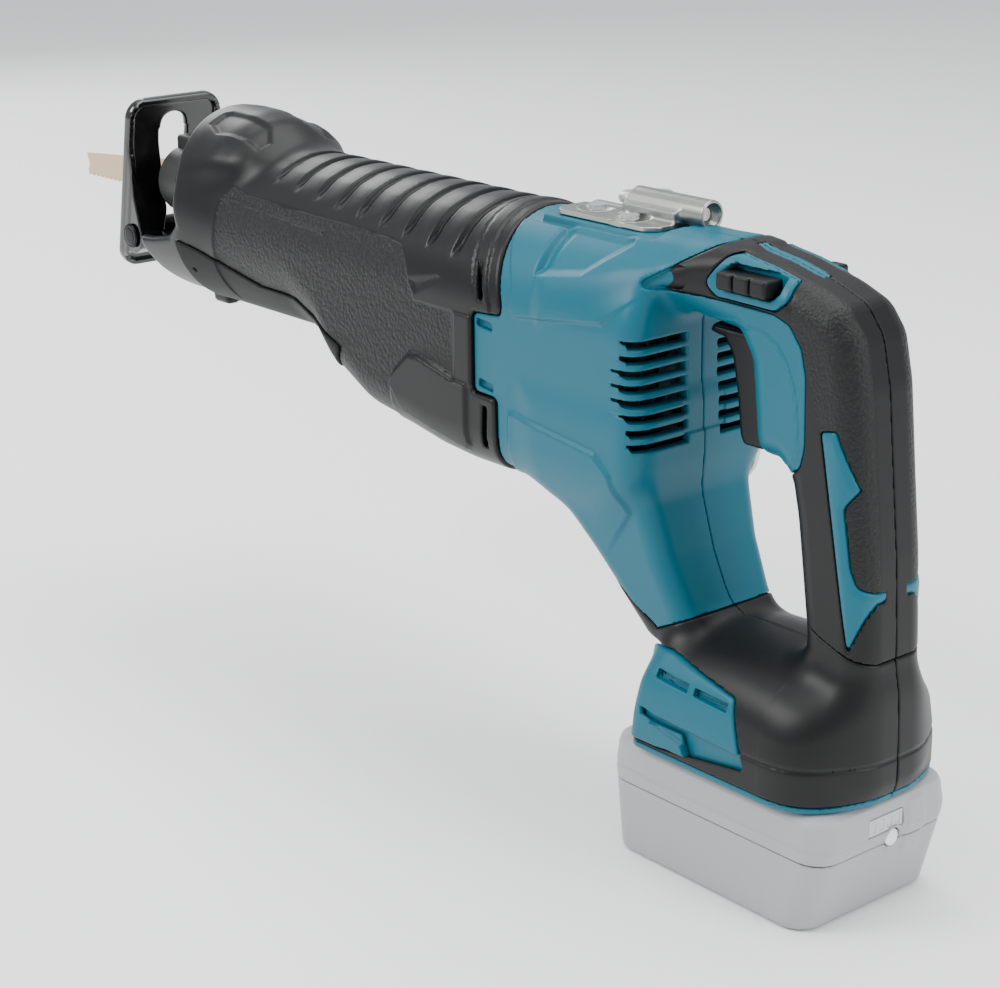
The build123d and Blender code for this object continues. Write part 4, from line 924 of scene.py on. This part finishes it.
def bracket_form(x, y, h):
    """Zinc-plated hook bracket: pressed plate, two dished screw seats, rolled tube."""
    top = 197.6
    outline_xy = soft_outline(x, y, [
        (-114.5, -8), (-110, -12.6), (-62, -12.6), (-57.6, -8), (-57.6, 12.6), (-114.5, 12.6),
    ], 1.2)
    plate = both(outline_xy, slab(h, 195.45, top), 0.5)
    for cx, cy in BRACKET_SCREWS:
        r = np.hypot(x - cx, y - cy)
        dish = np.hypot(r, h - (top + 9.0)) - 11.3
        plate = join(plate, both(np.abs(r - 7.2) - 0.7, slab(h, 195.5, top + 0.35), 0.5), 0.9)
        plate = cut(plate, dish, 0.9)
        plate = cut(plate, r - 2.05, 0.2)
    reach = np.hypot(y - TUBE_Y, h - TUBE_H)
    tube = both(reach - 6.0, slab(x, -86.8, -45.2), 0.7)
    web = both(both(np.abs(y - 6.0) - 6.4, slab(h, 196, 202), 1.0), slab(x, -86.8, -57.8), 0.7)
    shape = join(join(plate, tube, 1.0), web, 2.2)
    return cut(shape, reach - 2.7 - 2.0 * ease(np.abs(x + 66), 17.0, 20.6), 0.3)


PACK_X = 3.5                            # middle of the pack
PACK_SPLIT = -19.0                      # where its two cases meet
CHECK_Y, CHECK_H = 3.0, -17.5           # centre of the charge button
GAUGE_Y, GAUGE_H = -1.5, -10.0          # centre of the charge window


def pack_block(x, y, h):
    """The pack's block: ends that taper to the bench, rounded shoulders, eased corners."""
    half_length = np.interp(h, [-49, -13, -2, 0], [48.4, 58.0, 56.6, 54.0])
    steep_front = np.interp(h, [-49, -13, -2, 0], [54.6, 58.0, 57.2, 55.0])
    half_length = np.where(x < PACK_X, steep_front, half_length)
    half_width = np.interp(h, [-49, -13, -4, 0], [36.9, 37.4, 36.6, 34.2])
    p = np.abs(x - PACK_X) - half_length + 11.0
    q = np.abs(y) - half_width + 11.0
    plan = np.hypot(np.maximum(p, 0), np.maximum(q, 0)) + np.minimum(np.maximum(p, q), 0) - 11.0
    return both(plan, slab(h, -48.95, -0.12), 3.0)


def pack_form(x, y, h):
    side = np.abs(y)
    block = pack_block(x, y, h)
    # raised shoulder pads beside the rails, and the moulding step round the waist
    block = block + 0.45 * (1 - ease(np.abs(h + 13.2), 0.2, 1.0)) * ease(-h, 8, 10)
    rails = both(both(slab(x, -48, 42), side - 26.8, 1.6), slab(h, -6, 11.8), 1.4)
    shape = join(block, rails, 0.6)
    groove = both(slab(h, 2.1, 5.9), 23.6 - side, 0.4)
    shape = cut(shape, both(groove, np.abs(x + 3) - 60, 0.2), 0.4)
    for contact in (9, 18):
        slit = np.maximum(slab(x, 20.2, 50), np.abs(side - contact) - 0.95)
        shape = cut(shape, np.maximum(slit, 6.5 - h), 0.2)
    well = both(slab(h, -19.3, 2.0), side - 16.35, 1.0)
    shape = cut(shape, both(well, x + 47.3, 0.8), 0.5)
    gauge = both(both(np.abs(y - GAUGE_Y) - 9.6, np.abs(h - GAUGE_H) - 3.6, 0.8), 57.4 - x, 0.3)
    shape = cut(shape, gauge, 0.3)
    check = np.maximum(np.hypot(y - CHECK_Y, h - CHECK_H) - 3.9, 54.6 - x)
    shape = cut(shape, check, 0.3)
    rim = both(np.abs(np.hypot(y - CHECK_Y, h - CHECK_H) - 4.9) - 0.6, -(block + 0.5), 0.3)
    shape = join(shape, np.maximum(np.maximum(rim, block - 0.35), 40 - x), 0.3)
    boss = both(both(slab(y, 10.0, 20.0), slab(h, -28, -4), 4.0), np.maximum(block - 0.9, 40 - x), 2.0)
    shape = join(shape, boss, 1.5)
    # finger grips low on both ends
    for i in range(4):
        ridge = np.maximum(np.abs(h + 27 + 3.2 * i) - 0.6, side - 15)
        shape = shape + 0.5 * inside(ridge, 0.5) * ease(-x, 30, 36)
    room = np.maximum(pack_block(x, y, h) + 1.8, h + 6.5)
    return np.maximum(shape, -room)


def release_form(x, y, h):
    side = np.abs(y)
    face = both(both(slab(x, -55.2, -47.5), side - 15.9, 1.8), slab(h, -18.8, -2.0), 1.6)
    for i in range(4):
        ridge = np.maximum(np.abs(h + 15.5 - 3.4 * i) - 0.7, side - 12)
        face = face + 0.6 * inside(ridge, 0.6) * ease(-x, 52, 53.5)
    return face


def gauge_form(x, y, h):
    """Charge window with four plain bars standing in a frame."""
    plate = both(both(np.abs(y - GAUGE_Y) - 9.4, np.abs(h - GAUGE_H) - 3.4, 0.8), slab(x, 57.5, 60.7), 0.4)
    for i in range(4):
        cell = both(np.abs(y + 8.1 - 4.4 * i) - 1.5, np.abs(h - GAUGE_H) - 2.3, 0.3)
        plate = plate + 0.45 * inside(cell, 0.4) * ease(x, 59.4, 60.2)
    return plate


def check_form(x, y, h):
    r = np.hypot(y - CHECK_Y, h - CHECK_H)
    return both(both(r - 3.5, slab(x, 55.6, 60.4), 0.7), r * r * 0.03 + x - 60.5, 0.5)


def clamp_form(x, y, h):
    """Tool-less blade clamp: stepped barrel with a side rod and the blade's slot."""
    r = np.hypot(y, h - SPINDLE_H)
    radius = along(x, (-410, 10.2), (-404, 11.6), (-400, 12.4), (-380, 12.4))
    barrel = both(r - radius, slab(x, -407, -381), 1.0)
    rod = both(np.hypot(y + 4.7, h - 165.0) - 2.35, slab(x, -422, -390), 0.8)
    slot = np.maximum(np.maximum(np.abs(y) - 0.8, np.abs(h - 166) - 9.4), x + 393.5)
    return join(cut(barrel, slot, 0.4), rod, 1.0)


# ---- making the pieces ------------------------------------------------------------------------------
COARSE = 1.0


def shell_piece(name, form, low, high, step, body, slot, nodes, flip=False, made=None, finish=None,
                second=None, where=None):
    """One moulded piece, with normals read from its form."""
    made = made or skin_arrays(form, low, high, step * COARSE)
    piece = mesh_piece(name, *made, flip)
    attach(piece, body)
    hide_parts(*nodes)
    piece.data.materials.append(FINISH[finish or slot])
    if second:
        piece.data.materials.append(FINISH[second])
        corners = made[0][made[1]].mean(axis=1)
        piece.data.polygons.foreach_set("material_index", where(*corners.T).astype(np.int32))
    return made


def pair(name, form, low, high, step, body, slot, node, **options):
    """Left and right pieces from the left half of a form."""
    half = half_only(form)
    high = (high[0], 1.5, high[2])
    made = shell_piece(name + "_left", half, low, high, step, body, slot, [node + "_left"], **options)
    shell_piece(name + "_right", half, low, high, step, body, slot, [node + "_right"], flip=True, made=made,
                **options)


def in_texture(x, y, h):
    """The boot's finish at a place: 0 satin, 1 pebbled."""
    return (outline(x, h, TEXTURE) < -0.6) & ((np.abs(y) > 22) | (h < 150))


PEBBLED_GRIP = [
    (21, 175.5), (26, 168), (31, 158), (35.5, 143), (44.6, 143), (54, 121), (50, 113), (53, 94), (56, 84),
    (52, 76), (70, 76), (70, 215), (22, 215),
]


def in_pebbles(x, y, h):
    return (outline(x, h, PEBBLED_GRIP) < 0) & (np.abs(y) > 9)


def lower_half(x, y, h):
    return both(pack_form(x, y, h), h - PACK_SPLIT + PARTING, 0.4)


def upper_half(x, y, h):
    return both(pack_form(x, y, h), PACK_SPLIT + PARTING - h, 0.4)


shell_piece("front_boot_shell", boot_form, (-412, -48, 84), (-114, 48, 214), 1.05, "tool", "boot_rubber",
            ["front_boot"], second="boot_pebble", where=in_texture)
shell_piece("gear_case_casting", gear_case_form, (-352, -37, 90), (-138, 37, 196), 1.3, "tool",
            "cast_case", ["gear_case"])
shell_piece("lower_cover_shell", flap_form, (-354, -44, 98), (-221, 44, 154), 0.9, "tool", "boot_rubber",
            ["lower_cover"], finish="boot_band")
pair("housing_shell", housing_form, (-136, -43, -2), (64, 43, 200), 0.95, "tool", "body_plastic", "housing")
pair("grip_skin", grip_skin_form, (-64, -22, 40), (64, 22, 201), 0.8, "tool", "grip_rubber",
     "grip_overmould", finish="grip_smooth", second="grip_rubber", where=in_pebbles)
pair("foot_skin", foot_skin_form, (-80, -43, 1), (64, 43, 76), 0.8, "tool", "foot_rubber", "foot_overmould")
pair("foot_panel_skin", foot_panel_form, (-42, -43, 0), (28, 43, 44), 0.55, "tool", "body_plastic",
     "foot_panel")
pair("grip_arrow", arrow_form, (34, -21, 57), (64, 21, 144), 0.5, "tool", "body_plastic", "grip_accent")
# name, form, low and high corner, grid step, body, slot, CAD node
SMALL_PIECES = [
    ("shoe_plate", shoe_form, (-432, -28, 118), (-393, 28, 212), 0.6, "shoe", "shoe_enamel", "shoe"),
    ("shoe_hinge_pin", shoe_pin_form, (-421, -30, 133), (-405, 30, 149), 0.4, "shoe_bar", "black_steel",
     "shoe_pin"),
    ("shoe_slide_bar", shoe_arm_form, (-422, -16, 128), (-289, 16, 150), 0.7, "shoe_bar", "black_steel",
     "shoe_arm"),
    ("trigger_shell", trigger_form, (-33, -11, 120), (7, 11, 169), 0.45, "trigger", "button_plastic",
     "switch_trigger"),
    ("lock_off_slider", lock_off_form, (-15, -24, 182), (13, 24, 192), 0.45, "lock_off", "button_plastic",
     "lock_off_button"),
    ("hook_bracket_pressing", bracket_form, (-117, -15, 194), (-43, 16, 209), 0.45, "tool", "hook_zinc",
     "hook_bracket"),
    ("blade_clamp_barrel", clamp_form, (-424, -14, 153), (-379, 14, 183), 0.5, "plunger", "black_steel",
     "blade_clamp"),
    ("pack_lower_shell", lower_half, (-56, -40, -51), (64, 40, -17), 0.8, "battery", "pack_plastic",
     "pack_lower_case"),
    ("pack_upper_shell", upper_half, (-57, -40, -21), (64, 40, 14), 0.7, "battery", "pack_plastic",
     "pack_upper_case"),
    ("pack_release_latch", release_form, (-57, -18, -20), (-45, 18, 0), 0.5, "battery_release",
     "pack_button", "pack_release_button"),
    ("gauge_panel", gauge_form, (56, -13, -15), (62, 10, -5), 0.35, "battery", "gauge_plastic",
     "gauge_window"),
    ("gauge_button_cap", check_form, (54, -2, -22.5), (62, 8, -12.5), 0.35, "gauge_check", "gauge_button",
     "gauge_check_button"),
]
for *what, node in SMALL_PIECES:
    shell_piece(*what, [node])

# every CAD node left showing gets the finish of its record slot
for entry in frame["record"]["materials"]:
    for node in entry.get("nodes", []):
        data = frame["nodes"][node].data
        data.materials.clear()
        data.materials.append(FINISH[entry["slot"]])


# ---- floor, light and camera --------------------------------------------------------------------------
def floor():
    material, tree, shader = start_material("studio_floor")
    place = tree.nodes.new("ShaderNodeTexCoord").outputs["Object"]
    patches = maths(tree, "MULTIPLY", noise(tree, place, 3.0), 0.2)
    tone = mixed(tree, patches, (0.97, 0.97, 0.97, 1), (0.95, 0.95, 0.955, 1))
    tree.links.new(tone, shader.inputs["Base Color"])
    shader.inputs["Roughness"].default_value = 0.6
    mesh = bpy.data.meshes.new("studio_floor")
    size = 6.0
    corners = [(-size, -size, 0), (size, -size, 0), (size, size, 0), (-size, size, 0)]
    mesh.from_pydata(corners, [], [(0, 1, 2, 3)])
    mesh.materials.append(material)
    piece = bpy.data.objects.new("studio_floor", mesh)
    bpy.context.scene.collection.objects.link(piece)


def softbox(name, place, width, height, power):
    light = bpy.data.lights.new(name, "AREA")
    light.shape = "RECTANGLE"
    light.size = width
    light.size_y = height
    light.energy = power
    lamp = bpy.data.objects.new(name, light)
    lamp.location = place
    lamp.rotation_euler = (Vector(MIDDLE) - Vector(place)).to_track_quat("-Z", "Y").to_euler()
    bpy.context.scene.collection.objects.link(lamp)


def sky():
    world = bpy.data.worlds.new("studio")
    world.use_nodes = True
    back = world.node_tree.nodes["Background"]
    back.inputs["Color"].default_value = (0.95, 0.97, 1.0, 1)
    back.inputs["Strength"].default_value = 0.75
    bpy.context.scene.world = world


def camera():
    """A long lens from behind the tool's left, a little above it."""
    azimuth, elevation, roll = math.radians(50.137), math.radians(18.442), math.radians(-0.604)
    target = Vector((-0.1631, 0.0, 0.1120))
    back = Vector((
        math.sin(azimuth) * math.cos(elevation),
        -math.cos(azimuth) * math.cos(elevation),
        math.sin(elevation),
    ))
    right = (-back).cross(Vector((0, 0, 1))).normalized()
    up = right.cross(-back)
    tilted_right = right * math.cos(roll) + up * math.sin(roll)
    tilted_up = up * math.cos(roll) - right * math.sin(roll)
    data = bpy.data.cameras.new("camera")
    data.lens = 83.54
    data.sensor_width = 36.0
    eye = bpy.data.objects.new("camera", data)
    place = target + back * 1.00378
    turn = Matrix((tilted_right, tilted_up, back)).transposed().to_4x4()
    eye.matrix_world = Matrix.Translation(place) @ turn
    bpy.context.scene.collection.objects.link(eye)
    bpy.context.scene.camera = eye


floor()
sky()
MIDDLE = (-0.16, 0.0, 0.13)
softbox("key", (-0.9, -1.5, 1.5), 1.0, 0.8, 34)
softbox("top", (-0.1, 0.2, 2.0), 1.8, 1.8, 44)
softbox("rear", (1.7, 0.4, 1.0), 0.7, 1.2, 20)
softbox("front", (-2.0, 0.6, 1.0), 0.7, 1.2, 14)
camera()
